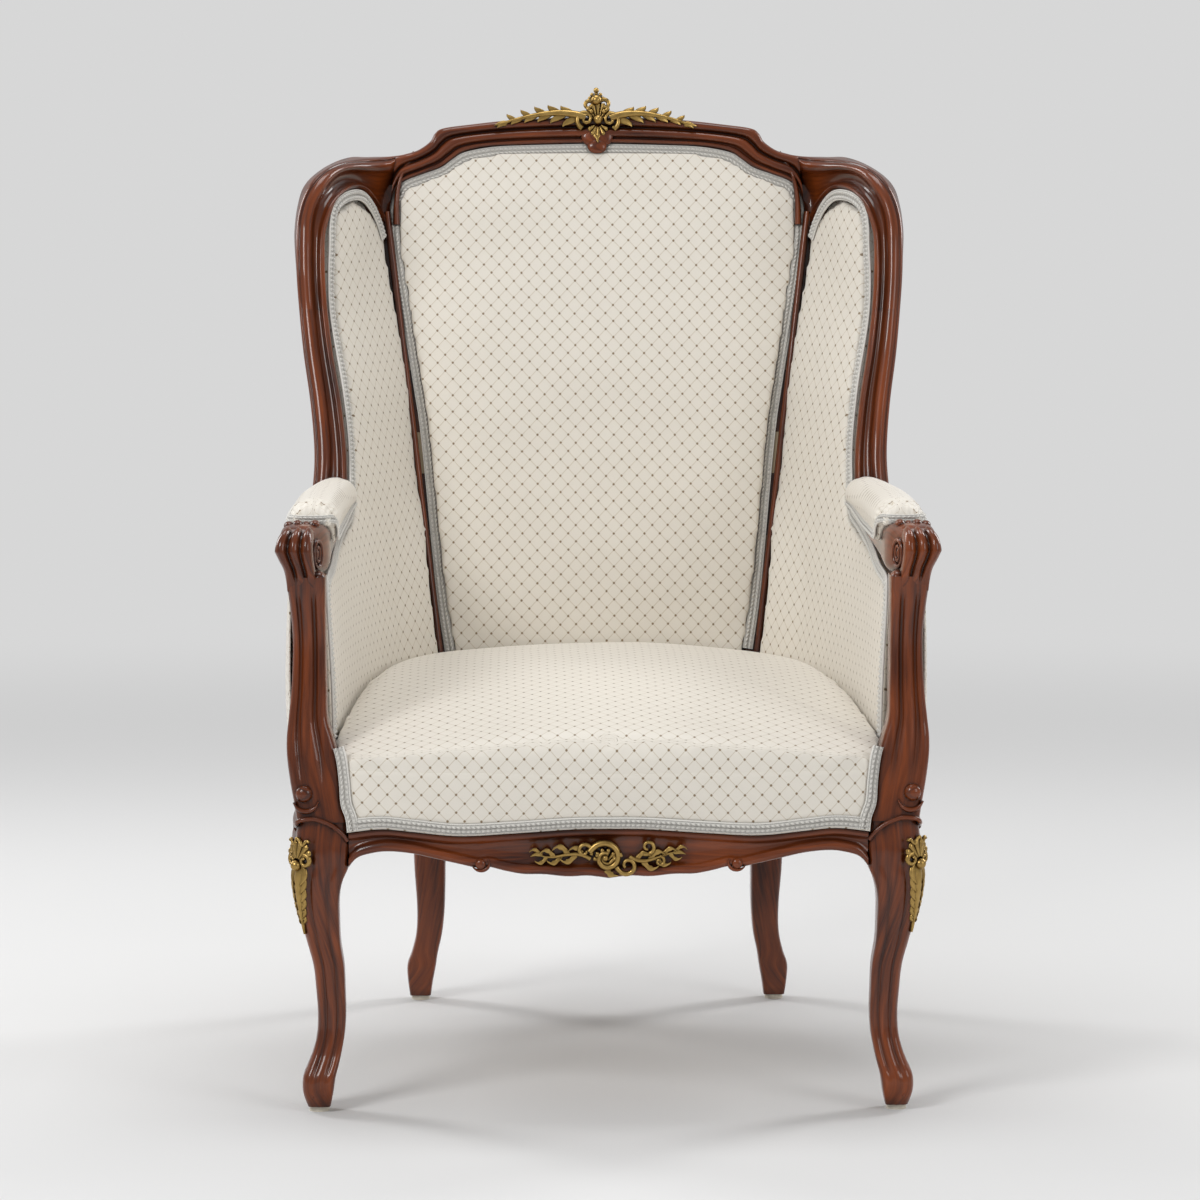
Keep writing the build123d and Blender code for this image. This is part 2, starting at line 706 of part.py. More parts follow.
# Outline of the inside wall seen from the side: run shares and heights
def wall_outline_points():
    arm = arm_top_z - arm_joint_z
    front = [
        (0.012, lerp(rail_top_z, seat_line_z, 0.4)), (0.010, seat_line_z),
        (0.012, arm_joint_z - arm * 1.2),
        (0.026, arm_joint_z - arm * 0.30), (0.07, arm_joint_z - arm * 0.10), (0.20, arm_joint_z),
        (0.37, arm_joint_z + arm * 0.27), (0.56, arm_joint_z + arm * 0.58),
        (0.655, arm_joint_z + arm * 0.85),
    ]
    rise = wing_joint_z - arm_top_z
    wing = [
        (0.70, arm_top_z + rise * 0.12), (0.737, arm_top_z + rise * 0.30),
        (0.774, arm_top_z + rise * 0.56),
        (0.835, wing_joint_z), (0.872, lerp(wing_joint_z, crest_top_z, 0.30)),
        (0.888, lerp(wing_joint_z, crest_top_z, 0.46)), (0.916, lerp(wing_joint_z, crest_top_z, 0.56)),
        (0.97, lerp(wing_joint_z, crest_top_z, 0.61)), (1.04, lerp(wing_joint_z, crest_top_z, 0.61)),
        (1.09, lerp(wing_joint_z, crest_top_z, 0.55)), (1.124, lerp(wing_joint_z, crest_top_z, 0.45)),
        (1.138, lerp(wing_joint_z, crest_top_z, 0.35)),
    ]
    return [(wall_run(a), z) for a, z in front + wing]


def wall_ring(inset):
    """Closed side view of the inside wall; the run from its second point on is the shown edge."""
    points = doubled([Vector(0, y, z) for y, z in wall_outline_points()])
    foot = Vector(0, back_y(points[0].Z), points[0].Z)
    return drawn_in([(p.Y, p.Z) for p in reversed([*points, foot])], inset)


def stile_side(z):
    """x beside the stile's bead, where the inside wall ends."""
    return stile_x(z) + stile_bead / 2 + soft_gap


def wall_span(ring, z):
    """Front and rear end of the inside wall at a height, clear of the stile's bead."""
    crossings = []
    for (y1, z1), (y2, z2) in zip(ring, ring[1:] + ring[:1]):
        if (z1 > z) != (z2 > z):
            crossings.append(lerp(y1, y2, (z - z1) / (z2 - z1)))
    front, rear = min(crossings), max(crossings)
    if wall_x(rear, z) >= stile_side(z):
        return front, rear
    near = front
    for _ in range(14):
        middle = (near + rear) / 2
        if wall_x(middle, z) > stile_side(z):
            near = middle
        else:
            rear = middle
    return front, near


def wall_levels(ring, low):
    """Heights of the outline's own corners above a level, none too close to the next."""
    heights = sorted(z for y, z in ring)
    levels = [max(low, heights[0]) + soft_gap]
    for z in heights:
        if z - levels[-1] > level_step and z < heights[-1] - level_step / 2:
            levels.append(z)
    return levels + [heights[-1] - soft_gap]


def wall_section(ring, z, low_inset, high_inset):
    """Level section of the wall between two distances outwards from its face."""
    front, rear = wall_span(ring, z)
    inner, outer = [], []
    for i in range(wall_steps + 1):
        y = lerp(front, rear, i / wall_steps)
        out = wall_normal(y, z)
        out = Vector(-out.X, -out.Y, 0).normalized()
        face = Vector(wall_x(y, z), y, z)
        inner.append(face + out * low_inset)
        outer.append(face + out * high_inset)
    return Wire.make_polygon(inner + outer[::-1], close=True)


def side_piece(inset, low_inset, high_inset, low, frame):
    """Layer of the inside wall within its outline drawn in by an inset."""
    ring = wall_ring(inset)
    sections = [wall_section(ring, z, low_inset, high_inset) for z in wall_levels(ring, low)]
    return cut(straight_loft_of(sections), *frame)


def side_gimp(frame):
    """Braid on the inside wall's shown edge, from the arch at the stile down to the seat."""
    path = [(y, z) for y, z in wall_ring(gimp_width / 2)[1:] if wall_x(y, z) > stile_side(z)]
    points = [Vector(wall_x(y, z), y, z) for y, z in path]
    sections = []
    for i, (y, z) in enumerate(path):
        out = wall_normal(y, z)
        ahead = points[min(i + 1, len(points) - 1)] - points[max(i - 1, 0)]
        across = ahead.cross(out).normalized() * (gimp_width / 2)
        back = out * -gimp_thickness
        p = points[i]
        corners = [p + across, p - across, p - across + back, p + across + back]
        sections.append(Wire.make_polygon(corners, close=True))
    return cut(straight_loft_of(sections), *frame)


# Outside of the arm in plan, over the side rail and the arm rail: heights with x shares of
# knee_half_width and run shares
outside_arm_shares = [
    (band_top_z, [(0.985, -0.02), (1.0, 0.16), (0.965, 0.42), (0.862, 0.70), (0.722, 0.90),
                  (0.63, 1.03)]),
    (seat_line_z, [(1.018, -0.02), (1.03, 0.16), (1.0, 0.42), (0.905, 0.70), (0.765, 0.90),
                   (0.632, 1.05)]),
    (lerp(arm_joint_z, arm_top_z, 0.45), [(1.012, -0.02), (1.018, 0.16), (1.008, 0.42),
                                          (0.985, 0.66), (0.862, 0.86), (0.668, 1.07)]),
]


def outside_arm(frame):
    """Fabric on the outside of the arm, from the side rail's band up to the arm rail."""
    wires = []
    for z, shares in outside_arm_shares:
        outer = [(knee_half_width * a, side_run(b), z) for a, b in shares]
        inner = [(x - outside_thickness, y, z) for x, y, z in outer]
        wires.append(Wire([spline_edge(outer), line_edge(outer[-1], inner[-1]),
                           spline_edge(list(reversed(inner))), line_edge(inner[0], outer[0])]))
    return cut(loft_of(wires), *frame)


def outside_wing(frame):
    """Fabric on the outside of the wing, between the arm rail, wing post, wing rail and stile."""
    near = side_thickness + side_gap
    low = arm_top_z - hidden_rail_height
    return side_piece(0, near, near + outside_thickness, low, frame)


def outside_back(frame):
    """Flat fabric between the stiles at the back of the crest rail."""
    depth = crest_depth - proud
    return cut(back_prism(-rebate, -depth - outside_thickness - soft_gap, -depth - soft_gap), *frame)


# Seat plan along the front, from the middle: x share of the seat's front corner, place share
# from the foremost point back to the corner
seat_front_shares = [(-1.0, 1.0), (-0.86, 0.47), (-0.6, 0.16), (-0.3, 0.03), (0.0, 0.0),
                     (0.3, 0.03), (0.6, 0.16), (0.86, 0.47), (1.0, 1.0)]
# Front of the seat in side view: height share from the band's top to the seat's crown, and how
# far it is drawn back as a share of seat_edge_round
seat_nose_shares = [(-0.12, 0.80), (0.16, 0.58), (0.46, 0.24), (0.68, 0.04), (0.78, 0.0),
                    (0.86, 0.22), (0.93, 0.9), (1.0, 2.6)]


def seat_level(z, drawn_back):
    """Plan outline of the seat at a height."""
    corner_x = wing_half_width * 0.851
    front_y = seat_front_y + drawn_back
    corner_y = knee_front_y + proud + drawn_back
    front = [(corner_x * a, lerp(front_y, corner_y, b), z) for a, b in seat_front_shares]
    side = [(p.X - 2 * side_gap, p.Y, z) for p in WALL[1][:-2]]
    back_edge = back_face_y - back_crown_at(back_middle()) - cover_thickness * 2
    end = (side[-1][0], back_edge, z)
    left = [(-x, y, z) for x, y, z in side]
    return Wire([
        spline_edge(front), line_edge(front[-1], side[0]), spline_edge(side),
        line_edge(side[-1], end), line_edge(end, (-end[0], end[1], z)),
        line_edge((-end[0], end[1], z), left[-1]), spline_edge(list(reversed(left))),
        line_edge(left[0], front[0]),
    ])


def dome(radius, top_z):
    """Ball whose top gives the seat its crown."""
    return Solid.make_sphere(radius, Plane((0, spring_pitch_y * 0.2, top_z - radius)))


def seat_shape(frame):
    """Whole sprung seat: nose over the front rail, crowned top, sides along the inside walls."""
    wires = []
    for height_share, back_share in seat_nose_shares:
        level = lerp(band_top_z, seat_crown_z, height_share)
        wires.append(seat_level(level, seat_edge_round * back_share))
    body = largest(loft_of(wires) & dome(seat_dome_radius, seat_crown_z))
    well_front = knee_front_y + proud * 2
    well = Box(overrun * 2, overrun * 2, overrun, align=(Align.CENTER, Align.MIN, Align.MAX))
    body = cut(body, Pos(0, well_front, rail_top_z) * well)
    body = cut(body, elevation(apron_top_shares, band_top_z - apron_drop * 3))
    return cut(body, *frame)


def seat_gimp(seat, frame):
    """Braid along the foot of the seat's front, over the apron's band."""
    layer = seat.moved(Location((0, -gimp_thickness, 0)))
    layer = cut(layer, seat)
    lower = elevation(apron_top_shares, seat_crown_z)
    layer = largest(layer & lower)
    return cut(layer, lower.moved(Location((0, 0, gimp_width))), *frame)


def spring_dome(extra):
    radius = (knee_half_width - knee_width) ** 2 / (2 * spring_rise)
    centre = (0, spring_pitch_y * -0.2, rail_top_z + spring_rise - radius)
    return Solid.make_sphere(radius + extra, Plane(centre))


def seat_well(low, high, inset):
    """Room inside the seat rails between two heights, drawn in by an inset."""
    side = [(x, y) for x, y in rail_plan(rail_thickness + inset)]
    rear_y = back_face_y - inset
    side = [(x, y) for x, y in side if y < rear_y] + [(side[-1][0], rear_y)]
    front_y = knee_front_y + knee_depth + inset
    apron_y = apron_front_y + rail_thickness + inset
    reach = rail_joint_x() - inset
    corner = [(x, y) for x, y in side if y > front_y]
    front = [(x, y) for x, y in bow(rail_thickness + inset, rail_joint_x()) if abs(x) < reach]
    entry = [(reach, max(apron_y, front[-1][1])), (reach, front_y), (corner[0][0], front_y)]
    right = entry + corner
    left = [(-x, y) for x, y in reversed(right)]
    ring = [Vector(x, y, low) for x, y in right + left + front]
    face = Face(Wire.make_polygon(ring, close=True))
    return largest(extrude(face, amount=high - low, dir=(0, 0, 1)))


def spring_hessian(frame):
    """Sacking stretched over the tied springs, from rail to rail."""
    shell = cut(spring_dome(hessian_thickness), spring_dome(0))
    core = seat_well(web_z + 2 * web_thickness + soft_gap, seat_line_z, soft_gap)
    return cut(largest(shell & core), *frame)


def seat_webbing(frame):
    """Woven straps under the springs, one layer each way."""
    straps = []
    on_base = (Align.CENTER, Align.CENTER, Align.MIN)
    long_way = Box(web_width, overrun * 2, web_thickness, align=on_base)
    cross_way = Box(overrun * 2, web_width, web_thickness, align=on_base)
    for i in range(web_count):
        place = i - (web_count - 1) / 2
        straps.append(cut(Pos(place * web_width * 1.45, 0, web_z) * long_way, *frame))
        across = Pos(0, place * web_width * 1.9 - web_width * 0.3, web_z + web_thickness) * cross_way
        straps.append(cut(across, *frame))
    return Compound(straps)


def seat_springs():
    """Waisted coil springs shown as their outer sleeves, standing on the webbing."""
    foot = web_z + 2 * web_thickness
    top = rail_top_z + spring_rise
    waist = (foot + top) / 2
    outer = [(spring_end_radius, foot), (spring_waist_radius, waist), (spring_end_radius, top)]
    inner = [(r - spring_wire, z) for r, z in outer]
    places = [(r, 0, z) for r, z in outer]
    inside = [(r, 0, z) for r, z in reversed(inner)]
    profile = face_of([spline_edge(places), line_edge(places[-1], inside[0]),
                       spline_edge(inside), line_edge(inside[-1], places[0])])
    sleeve = largest(revolve(profile, axis=Axis.Z))
    springs = []
    for i in (-1, 0, 1):
        for j in (-1, 0, 1):
            here = sleeve.moved(Location((i * spring_pitch_x, (j - 0.2) * spring_pitch_y, 0)))
            springs.append(largest(here & spring_dome(0)))
    return Compound(springs)


def dust_cover(frame):
    """Thin cloth that closes the seat from below."""
    low = rail_bottom_z + web_thickness
    return cut(seat_well(low, low + hessian_thickness, soft_gap), *frame)


def back_webbing(frame):
    """Straps behind the inside back, tacked between the stiles and from rail to crest."""
    straps = []
    run = up_the_back(inside_top_z())
    foot = up_the_back(seat_line_z - gimp_width - rail_thickness)
    for i in range(web_count):
        level = run * (i + 0.9) / (web_count + 0.9)
        strap = Box(overrun * 2, web_width, web_thickness,
                    align=(Align.CENTER, Align.CENTER, Align.MAX))
        straps.append(cut(BACK.location * Pos(0, level, -soft_gap) * strap, *frame))
    for i in range(web_count - 1):
        place = (i - (web_count - 2) / 2) * web_width * 1.6
        strap = Box(web_width, run - foot, web_thickness, align=(Align.CENTER, Align.MIN, Align.MAX))
        behind = -web_thickness - soft_gap
        straps.append(cut(BACK.location * Pos(place, foot, behind) * strap, *frame))
    return Compound(straps)


# Arm pad section: u shares of its width from the outer edge, v shares of its height
pad_top_shares = [(0.0, 0.05), (0.02, 0.42), (0.14, 0.76), (0.36, 0.97), (0.60, 1.0), (0.82, 0.84),
                  (0.96, 0.48), (1.0, 0.05)]
# Along the pad: place share, size share, and arm rail's outer edge as a share of arm_half_width
pad_run_shares = [(0.0, 0.80, 0.966), (0.03, 0.93, 0.974), (0.10, 1.0, 0.976), (0.45, 1.0, 0.974),
                  (0.8, 0.96, 0.955), (1.0, 0.92, 0.938)]


def arm_pad_section(place_share, size_share, outer_share, grow):
    y = lerp(arm_pad_front_y, post_foot_y, place_share)
    outer_x = arm_half_width * outer_share + grow
    width = (arm_pad_width + 2 * grow) * size_share
    height = (arm_pad_height + grow) * size_share
    low = arm_joint_z + (arm_top_z - arm_joint_z) * 0.99
    top = [(outer_x - width * a, y, low + height * b) for a, b in pad_top_shares]
    inner_x = outer_x - width
    lip = cover_thickness * 3
    wrap_z = low - arm_pad_wrap * size_share
    base = [top[-1], (inner_x + lip * 0.4, y, wrap_z), (inner_x + lip * 1.3, y, wrap_z),
            (inner_x + lip * 1.3, y, low), (outer_x, y, low), top[0]]
    return Wire([spline_edge(top), *[line_edge(a, b) for a, b in zip(base, base[1:])]])


def arm_pad(frame):
    body = loft_of([arm_pad_section(a, b, c, 0) for a, b, c in pad_run_shares])
    return cut(body, *frame)


def arm_pad_gimp(pad, frame):
    """Braid round the pad's lower edge on its outer side and front."""
    body = loft_of([arm_pad_section(a, b, c, gimp_thickness * 0.5) for a, b, c in pad_run_shares])
    body = cut(body.moved(Location((0, -gimp_thickness * 0.5, 0))), pad)
    low = arm_joint_z + (arm_top_z - arm_joint_z) * 0.99
    keep = Box(overrun * 2, overrun * 2, gimp_width * 0.7,
               align=(Align.CENTER, Align.CENTER, Align.MIN))
    body = largest(body & (Pos(0, 0, low) * keep))
    inner_side = arm_half_width * 0.974 - arm_pad_width * 0.7
    trim = Box(overrun, overrun * 2, overrun, align=(Align.MAX, Align.CENTER, Align.CENTER))
    return cut(body, Pos(inner_side, 0, low) * trim, *frame)


def corner_block(points, frame):
    low = rail_top_z - block_height - web_thickness
    face = Face(Wire.make_polygon([Vector(x, y, low) for x, y in points], close=True))
    return cut(largest(extrude(face, amount=block_height, dir=(0, 0, 1))), *frame)


def corner_blocks(frame):
    """Glued blocks that brace the seat frame's four corners."""
    leg_back = knee_front_y + knee_depth
    inner = rail_joint_x()
    front = [(inner - block_leg, leg_back - block_leg * 0.6),
             (inner + block_leg, leg_back - block_leg * 0.6),
             (inner + block_leg, leg_back + block_leg * 1.3)]
    foot = stile_x(seat_line_z)
    rear = [(foot - block_leg, back_face_y), (foot + block_leg, back_face_y),
            (foot + block_leg, back_face_y - block_leg * 1.4)]
    right = [largest(corner_block(points, frame) & spring_dome(-soft_gap)) for points in (front, rear)]
    return Compound(right + [mirrored(b) for b in right])


def glide_places():
    front_x = knee_half_width * 0.963 - knee_width * 0.21
    front_y = knee_front_y + knee_half_width * 0.037 + knee_depth * 0.22
    return [(front_x, front_y), (back_foot_half_width, back_foot_y)]


def foot_glides():
    discs = []
    disc = Cylinder(glide_radius, glide_height, align=(Align.CENTER, Align.CENTER, Align.MIN))
    for x, y in glide_places():
        for side in (-1, 1):
            discs.append(Pos(side * x, y, 0) * disc)
    return Compound([largest(d) for d in discs])


# Outlines of the bronze mounts, one half from the top down: x share and height share
crest_mount_shares = [
    (0.0, 1.0), (0.07, 0.98), (0.10, 0.72), (0.20, 0.62), (0.30, 0.66), (0.45, 0.52), (0.62, 0.46),
    (0.80, 0.28), (0.92, 0.26), (1.0, 0.20), (0.9, 0.14), (0.72, 0.20), (0.5, 0.32), (0.34, 0.40),
    (0.22, 0.34), (0.12, 0.12), (0.0, 0.0),
]
apron_mount_shares = [
    (0.0, 1.0), (0.14, 0.98), (0.26, 0.80), (0.40, 0.86), (0.55, 0.98), (0.66, 0.86), (0.80, 0.70),
    (1.0, 0.56), (0.88, 0.40), (0.70, 0.44), (0.5, 0.50), (0.36, 0.34), (0.24, 0.14), (0.12, 0.0),
    (0.0, 0.0),
]
knee_mount_shares = [
    (0.0, 1.0), (0.5, 0.96), (0.95, 0.80), (0.8, 0.62), (0.6, 0.50), (0.5, 0.30), (0.3, 0.10),
    (0.0, 0.0),
]


def mount_outline(shares, half_width, height, plane):
    right = [(half_width * a, height * b, 0) for a, b in shares]
    left = [(-x, y, 0) for x, y, _ in reversed(right[1:-1])]
    ring = [Vector(*p) for p in right + left]
    return plane.location * Face(Wire.make_polygon(ring, close=True))


def crest_mount(frame):
    """Leafy spray fixed to the front of the crest rail."""
    foot = lerp(inside_top_z(), crest_top_z, 0.2)
    height = up_the_back(crest_mount_top_z) - up_the_back(foot)
    origin = BACK.from_local_coords(Vector(0, up_the_back(foot), proud))
    plane = Plane(origin=origin, x_dir=(1, 0, 0), z_dir=BACK_NORMAL)
    face = mount_outline(crest_mount_shares, crest_mount_half_width, height, plane)
    return cut(largest(extrude(face, amount=mount_thickness, dir=BACK_NORMAL)), *frame)


def apron_mount():
    """Shell and scrolls on the middle of the apron."""
    low = band_top_z - apron_drop * 0.96
    plane = Plane(origin=(0, apron_front_y, low), x_dir=(1, 0, 0), z_dir=(0, -1, 0))
    face = mount_outline(apron_mount_shares, apron_mount_half_width, apron_mount_height, plane)
    prism = extrude(face, amount=mount_thickness * 8, dir=(0, -1, 0), both=True)
    return largest(prism & bow_strip(-mount_thickness, mount_thickness, 0, crest_top_z))


def knee_plane(height_share):
    """Plane square to the knee's corner, where the knee mount lies."""
    outward = Vector(1, -1, 0).normalized()
    inset = knee_width * 0.20
    origin = Vector(knee_half_width - inset, knee_front_y + inset, leg_top_z * height_share)
    return Plane(origin=origin, x_dir=Vector(1, 1, 0).normalized(), z_dir=outward)


def knee_mount(leg, side_rail):
    """Shell with a leaf drop on the corner of the knee."""
    plane = knee_plane(0.62)
    face = mount_outline(knee_mount_shares, knee_mount_width / 2, knee_mount_height, plane)
    prism = extrude(face, amount=knee_width, dir=plane.z_dir, both=True)
    layer = cut(leg.moved(Location(plane.z_dir * mount_thickness)), leg)
    return cut(largest(layer & prism), side_rail)


def rod(centre, axis, radius, length):
    return Solid.make_cylinder(radius, length, Plane(centre - axis * (length / 2), z_dir=axis))


def frame_joints():
    """Dowelled joints on the right side: two pieces, the joint's middle and the dowel's direction."""
    up, across, along = Vector(0, 0, 1), Vector(1, 0, 0), Vector(0, 1, 0)
    stump_x = knee_half_width * 0.908
    stump_y = knee_front_y + stump_depth * 0.58
    rail_z = lerp(rail_bottom_z, leg_top_z, 0.4)
    post_x = wing_half_width * 0.94
    crest_z = lerp(wing_joint_z, crest_top_z, 0.71)
    stile_top_z = lerp(wing_joint_z, crest_top_z, 0.56)
    foot_rail_z = seat_line_z - gimp_width - rail_thickness / 2
    foot_rail_y = back_face_y + rail_thickness * 0.35
    foot = stile_x(seat_line_z)
    hidden_z = arm_top_z - hidden_rail_height / 2
    hidden_end = Vector(stile_x(arm_top_z), back_y(arm_top_z), hidden_z)
    reach_x = hidden_end.X - arm_half_width * 0.885
    hidden_run = Vector(reach_x, hidden_end.Y - post_foot_y, 0).normalized()
    wing_end = Vector(wing_half_width * 0.688, back_y(crest_z) + proud, crest_z)
    stile_y = back_y(crest_z) + stile_depth * 0.25
    return [
        ("front_leg", "arm_stump", Vector(stump_x, stump_y, leg_top_z), up),
        ("arm_stump", "arm_rail", Vector(knee_half_width * 0.96, stump_y, arm_joint_z), up),
        ("arm_rail", "wing_post", Vector(wing_half_width * 0.885, post_foot_y, arm_top_z), up),
        ("wing_post", "wing_rail", Vector(post_x, post_top_y, wing_joint_z), up),
        ("wing_rail", "crest_rail", wing_end, across),
        ("back_post", "crest_rail", Vector(back_half_width * 0.93, stile_y, stile_top_z), up),
        ("front_leg", "seat_rail_front",
         Vector(rail_joint_x(), knee_front_y + rail_thickness * 0.75, rail_z), across),
        ("front_leg", "seat_rail",
         Vector(knee_half_width * 0.945, knee_front_y + knee_depth, rail_z), along),
        ("back_post", "seat_rail",
         Vector(back_foot_half_width * 0.96, back_face_y, rail_z), along),
        ("back_post", "seat_rail_rear",
         Vector(foot - stile_width * 0.3, back_face_y + rail_thickness / 2, rail_z), across),
        ("back_post", "back_bottom_rail",
         Vector(foot - stile_width / 2, foot_rail_y, foot_rail_z), across),
        ("back_post", "arm_rail", hidden_end, hidden_run),
    ]


def reflect(v):
    return Vector(-v.X, v.Y, v.Z)


def fit_dowels(pieces):
    """Bores each joint's two pieces on both sides and returns the dowels."""
    dowels = []
    for first, second, centre, axis in frame_joints():
        for suffix, c, a in (("_right", centre, axis), ("_left", reflect(centre), reflect(axis))):
            bore = rod(c, a, dowel_radius + bore_clearance, dowel_length + 2 * bore_clearance)
            for name in (first, second, "seat_rail"):
                key = name if name in pieces else name + suffix
                pieces[key] = cut(pieces[key], bore)
            blocks = [largest(block - bore) for block in pieces["corner_blocks"].solids()]
            pieces["corner_blocks"] = Compound(blocks)
            dowels.append(rod(c, a, dowel_radius, dowel_length))
    return Compound(dowels)


def fit_pins(pieces):
    """Pins that hold the bronze mounts, through the mount and into the wood."""
    pins = []
    crest_level = lerp(inside_top_z(), crest_top_z, 0.55)
    apron_level = band_top_z - apron_drop * 0.52
    knee = knee_plane(0.80)
    places = []
    for side in (-1, 1):
        across = side * crest_mount_half_width * 0.15
        spot = BACK.from_local_coords(Vector(across, up_the_back(crest_level), proud))
        places.append(("crest_mount", "crest_rail", spot, BACK_NORMAL))
        spot = Vector(side * apron_mount_half_width * 0.15, apron_front_y, apron_level)
        places.append(("apron_mount", "seat_rail_front", spot, Vector(0, -1, 0)))
    for suffix, flip in (("_right", 1), ("_left", -1)):
        spot = Vector(knee.origin.X * flip, knee.origin.Y, knee.origin.Z)
        outward = Vector(knee.z_dir.X * flip, knee.z_dir.Y, 0)
        places.append(("knee_mount" + suffix, "front_leg" + suffix, spot, outward))
    for mount, wood, spot, outward in places:
        middle = spot + outward * (mount_thickness - pin_length / 2)
        bore = rod(middle, outward, pin_radius + bore_clearance / 2, pin_length * 1.5)
        pieces[mount] = cut(pieces[mount], bore)
        pieces[wood] = cut(pieces[wood], bore)
        pins.append(rod(middle, outward, pin_radius, pin_length))
    return Compound(pins)


def pair(pieces, name, shape):
    pieces[name + "_right"] = shape
    pieces[name + "_left"] = mirrored(shape)


def build():
    pieces = {}
    leg = front_leg()
    stump = arm_stump()
    crest = crest_rail()
    wing_top = wing_rail()
    behind_crest = crest.moved(Location(BACK_NORMAL * (crest_depth - proud - stile_depth)))
    post = cut(back_post(), crest, behind_crest, wing_top)
    side_rail = cut(seat_rail_side(), leg, stump, post)
    arm = cut(arm_rail(), stump, post)
    upright = cut(wing_post(), arm)
    apron = cut(seat_rail_front(), leg, mirrored(leg))
    rear = seat_rail_rear(post)
    foot_rail = back_bottom_rail(post)
    posts = [post, mirrored(post)]

    side_wood = [arm, upright, wing_top, post, side_rail]
    outer_arm = outside_arm([leg, stump, arm, upright, post, side_rail])
    inset = gimp_width + 2 * side_gap
    side_cover = side_piece(inset, 0, cover_thickness, rail_top_z, side_wood)
    around = [*side_wood, outer_arm]
    side_stuffing = side_piece(inset, cover_thickness, side_thickness, rail_top_z, around)
    braid = side_gimp([stump, *side_wood])

    inside_back = back_pad()
    back_stuffing, back_cover = split_pad(inside_back, BACK_NORMAL * -cover_thickness)
    seat_frame = [leg, stump, post, side_rail]
    seat_frame = [*seat_frame, *[mirrored(s) for s in seat_frame], apron, rear]
    seat = seat_shape(seat_frame)
    sacking = spring_hessian(seat_frame)
    stuffing, cover = split_pad(seat, (0, cover_thickness, -cover_thickness))
    stuffing = cut(stuffing, spring_dome(hessian_thickness))

    pair(pieces, "front_leg", leg)
    pair(pieces, "arm_stump", stump)
    pair(pieces, "arm_rail", arm)
    pair(pieces, "wing_post", upright)
    pair(pieces, "wing_rail", wing_top)
    pair(pieces, "back_post", post)
    pair(pieces, "seat_rail", side_rail)
    pieces["crest_rail"] = crest
    pieces["seat_rail_front"] = apron
    pieces["seat_rail_rear"] = rear
    pieces["back_bottom_rail"] = foot_rail
    pieces["corner_blocks"] = corner_blocks([leg, post, side_rail, apron, rear])
    pieces["seat_webbing"] = seat_webbing(seat_frame)
    pieces["seat_springs"] = seat_springs()
    pieces["spring_hessian"] = sacking
    pieces["seat_stuffing"] = stuffing
    pieces["seat_cover"] = cover
    pieces["seat_gimp"] = seat_gimp(seat, [leg, stump, mirrored(leg), mirrored(stump), apron])
    pieces["dust_cover"] = dust_cover(seat_frame)
    pieces["back_webbing"] = back_webbing([crest, *posts, foot_rail])
    pieces["back_stuffing"] = back_stuffing
    pieces["back_cover"] = back_cover
    pieces["back_gimp"] = back_gimp([crest, *posts])
    pieces["outside_back"] = outside_back([*posts, foot_rail])
    pair(pieces, "side_stuffing", side_stuffing)
    pair(pieces, "side_cover", side_cover)
    pair(pieces, "side_gimp", braid)
    pair(pieces, "outside_arm", outer_arm)
    pair(pieces, "outside_wing", outside_wing([arm, upright, wing_top, post]))
    pad = arm_pad([arm, upright, side_cover, side_stuffing, braid])
    pair(pieces, "arm_pad", pad)
    pair(pieces, "arm_pad_gimp", arm_pad_gimp(pad, [arm, upright]))
    pieces["crest_mount"] = crest_mount([crest])
    pieces["apron_mount"] = apron_mount()
    pair(pieces, "knee_mount", knee_mount(leg, side_rail))
    pieces["foot_glides"] = foot_glides()
    pieces["joint_dowels"] = fit_dowels(pieces)
    for key in ("side_stuffing_right", "side_stuffing_left"):
        pieces[key] = cut(pieces[key], *pieces["joint_dowels"].solids())
    pieces["mount_pins"] = fit_pins(pieces)
    return pieces


if __name__ == "__main__":
    chair = build()
    for node, shape in chair.items():
        print(node, shape.is_valid, len(shape.solids()), round(shape.volume))
    whole = Compound(list(chair.values())).bounding_box()
    settle = Location((0, -(whole.min.Y + whole.max.Y) / 2, -whole.min.Z))
    print("overall size", whole.size, "moved", settle.position)
    for node, shape in chair.items():
        export_step(shape.moved(settle), f"parts/{node}.step")
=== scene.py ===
import bpy
import bmesh
import math
from math import sin, cos, pi, hypot, radians, tan
from mathutils import Vector, Matrix, noise
from mathutils.bvhtree import BVHTree


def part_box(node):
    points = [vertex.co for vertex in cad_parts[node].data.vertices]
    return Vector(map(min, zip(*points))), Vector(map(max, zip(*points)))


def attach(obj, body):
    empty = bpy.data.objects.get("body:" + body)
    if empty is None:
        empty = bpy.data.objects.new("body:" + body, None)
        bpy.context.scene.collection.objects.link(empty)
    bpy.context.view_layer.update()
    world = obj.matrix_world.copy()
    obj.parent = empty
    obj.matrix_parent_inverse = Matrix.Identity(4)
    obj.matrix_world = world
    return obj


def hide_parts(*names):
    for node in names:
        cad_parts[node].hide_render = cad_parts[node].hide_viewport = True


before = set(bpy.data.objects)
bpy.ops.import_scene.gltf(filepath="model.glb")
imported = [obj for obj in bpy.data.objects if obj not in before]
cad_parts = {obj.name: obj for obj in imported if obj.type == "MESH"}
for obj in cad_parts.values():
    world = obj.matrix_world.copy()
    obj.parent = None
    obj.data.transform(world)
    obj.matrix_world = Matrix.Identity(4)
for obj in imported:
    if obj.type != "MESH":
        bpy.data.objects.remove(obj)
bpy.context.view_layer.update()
MM = 0.001
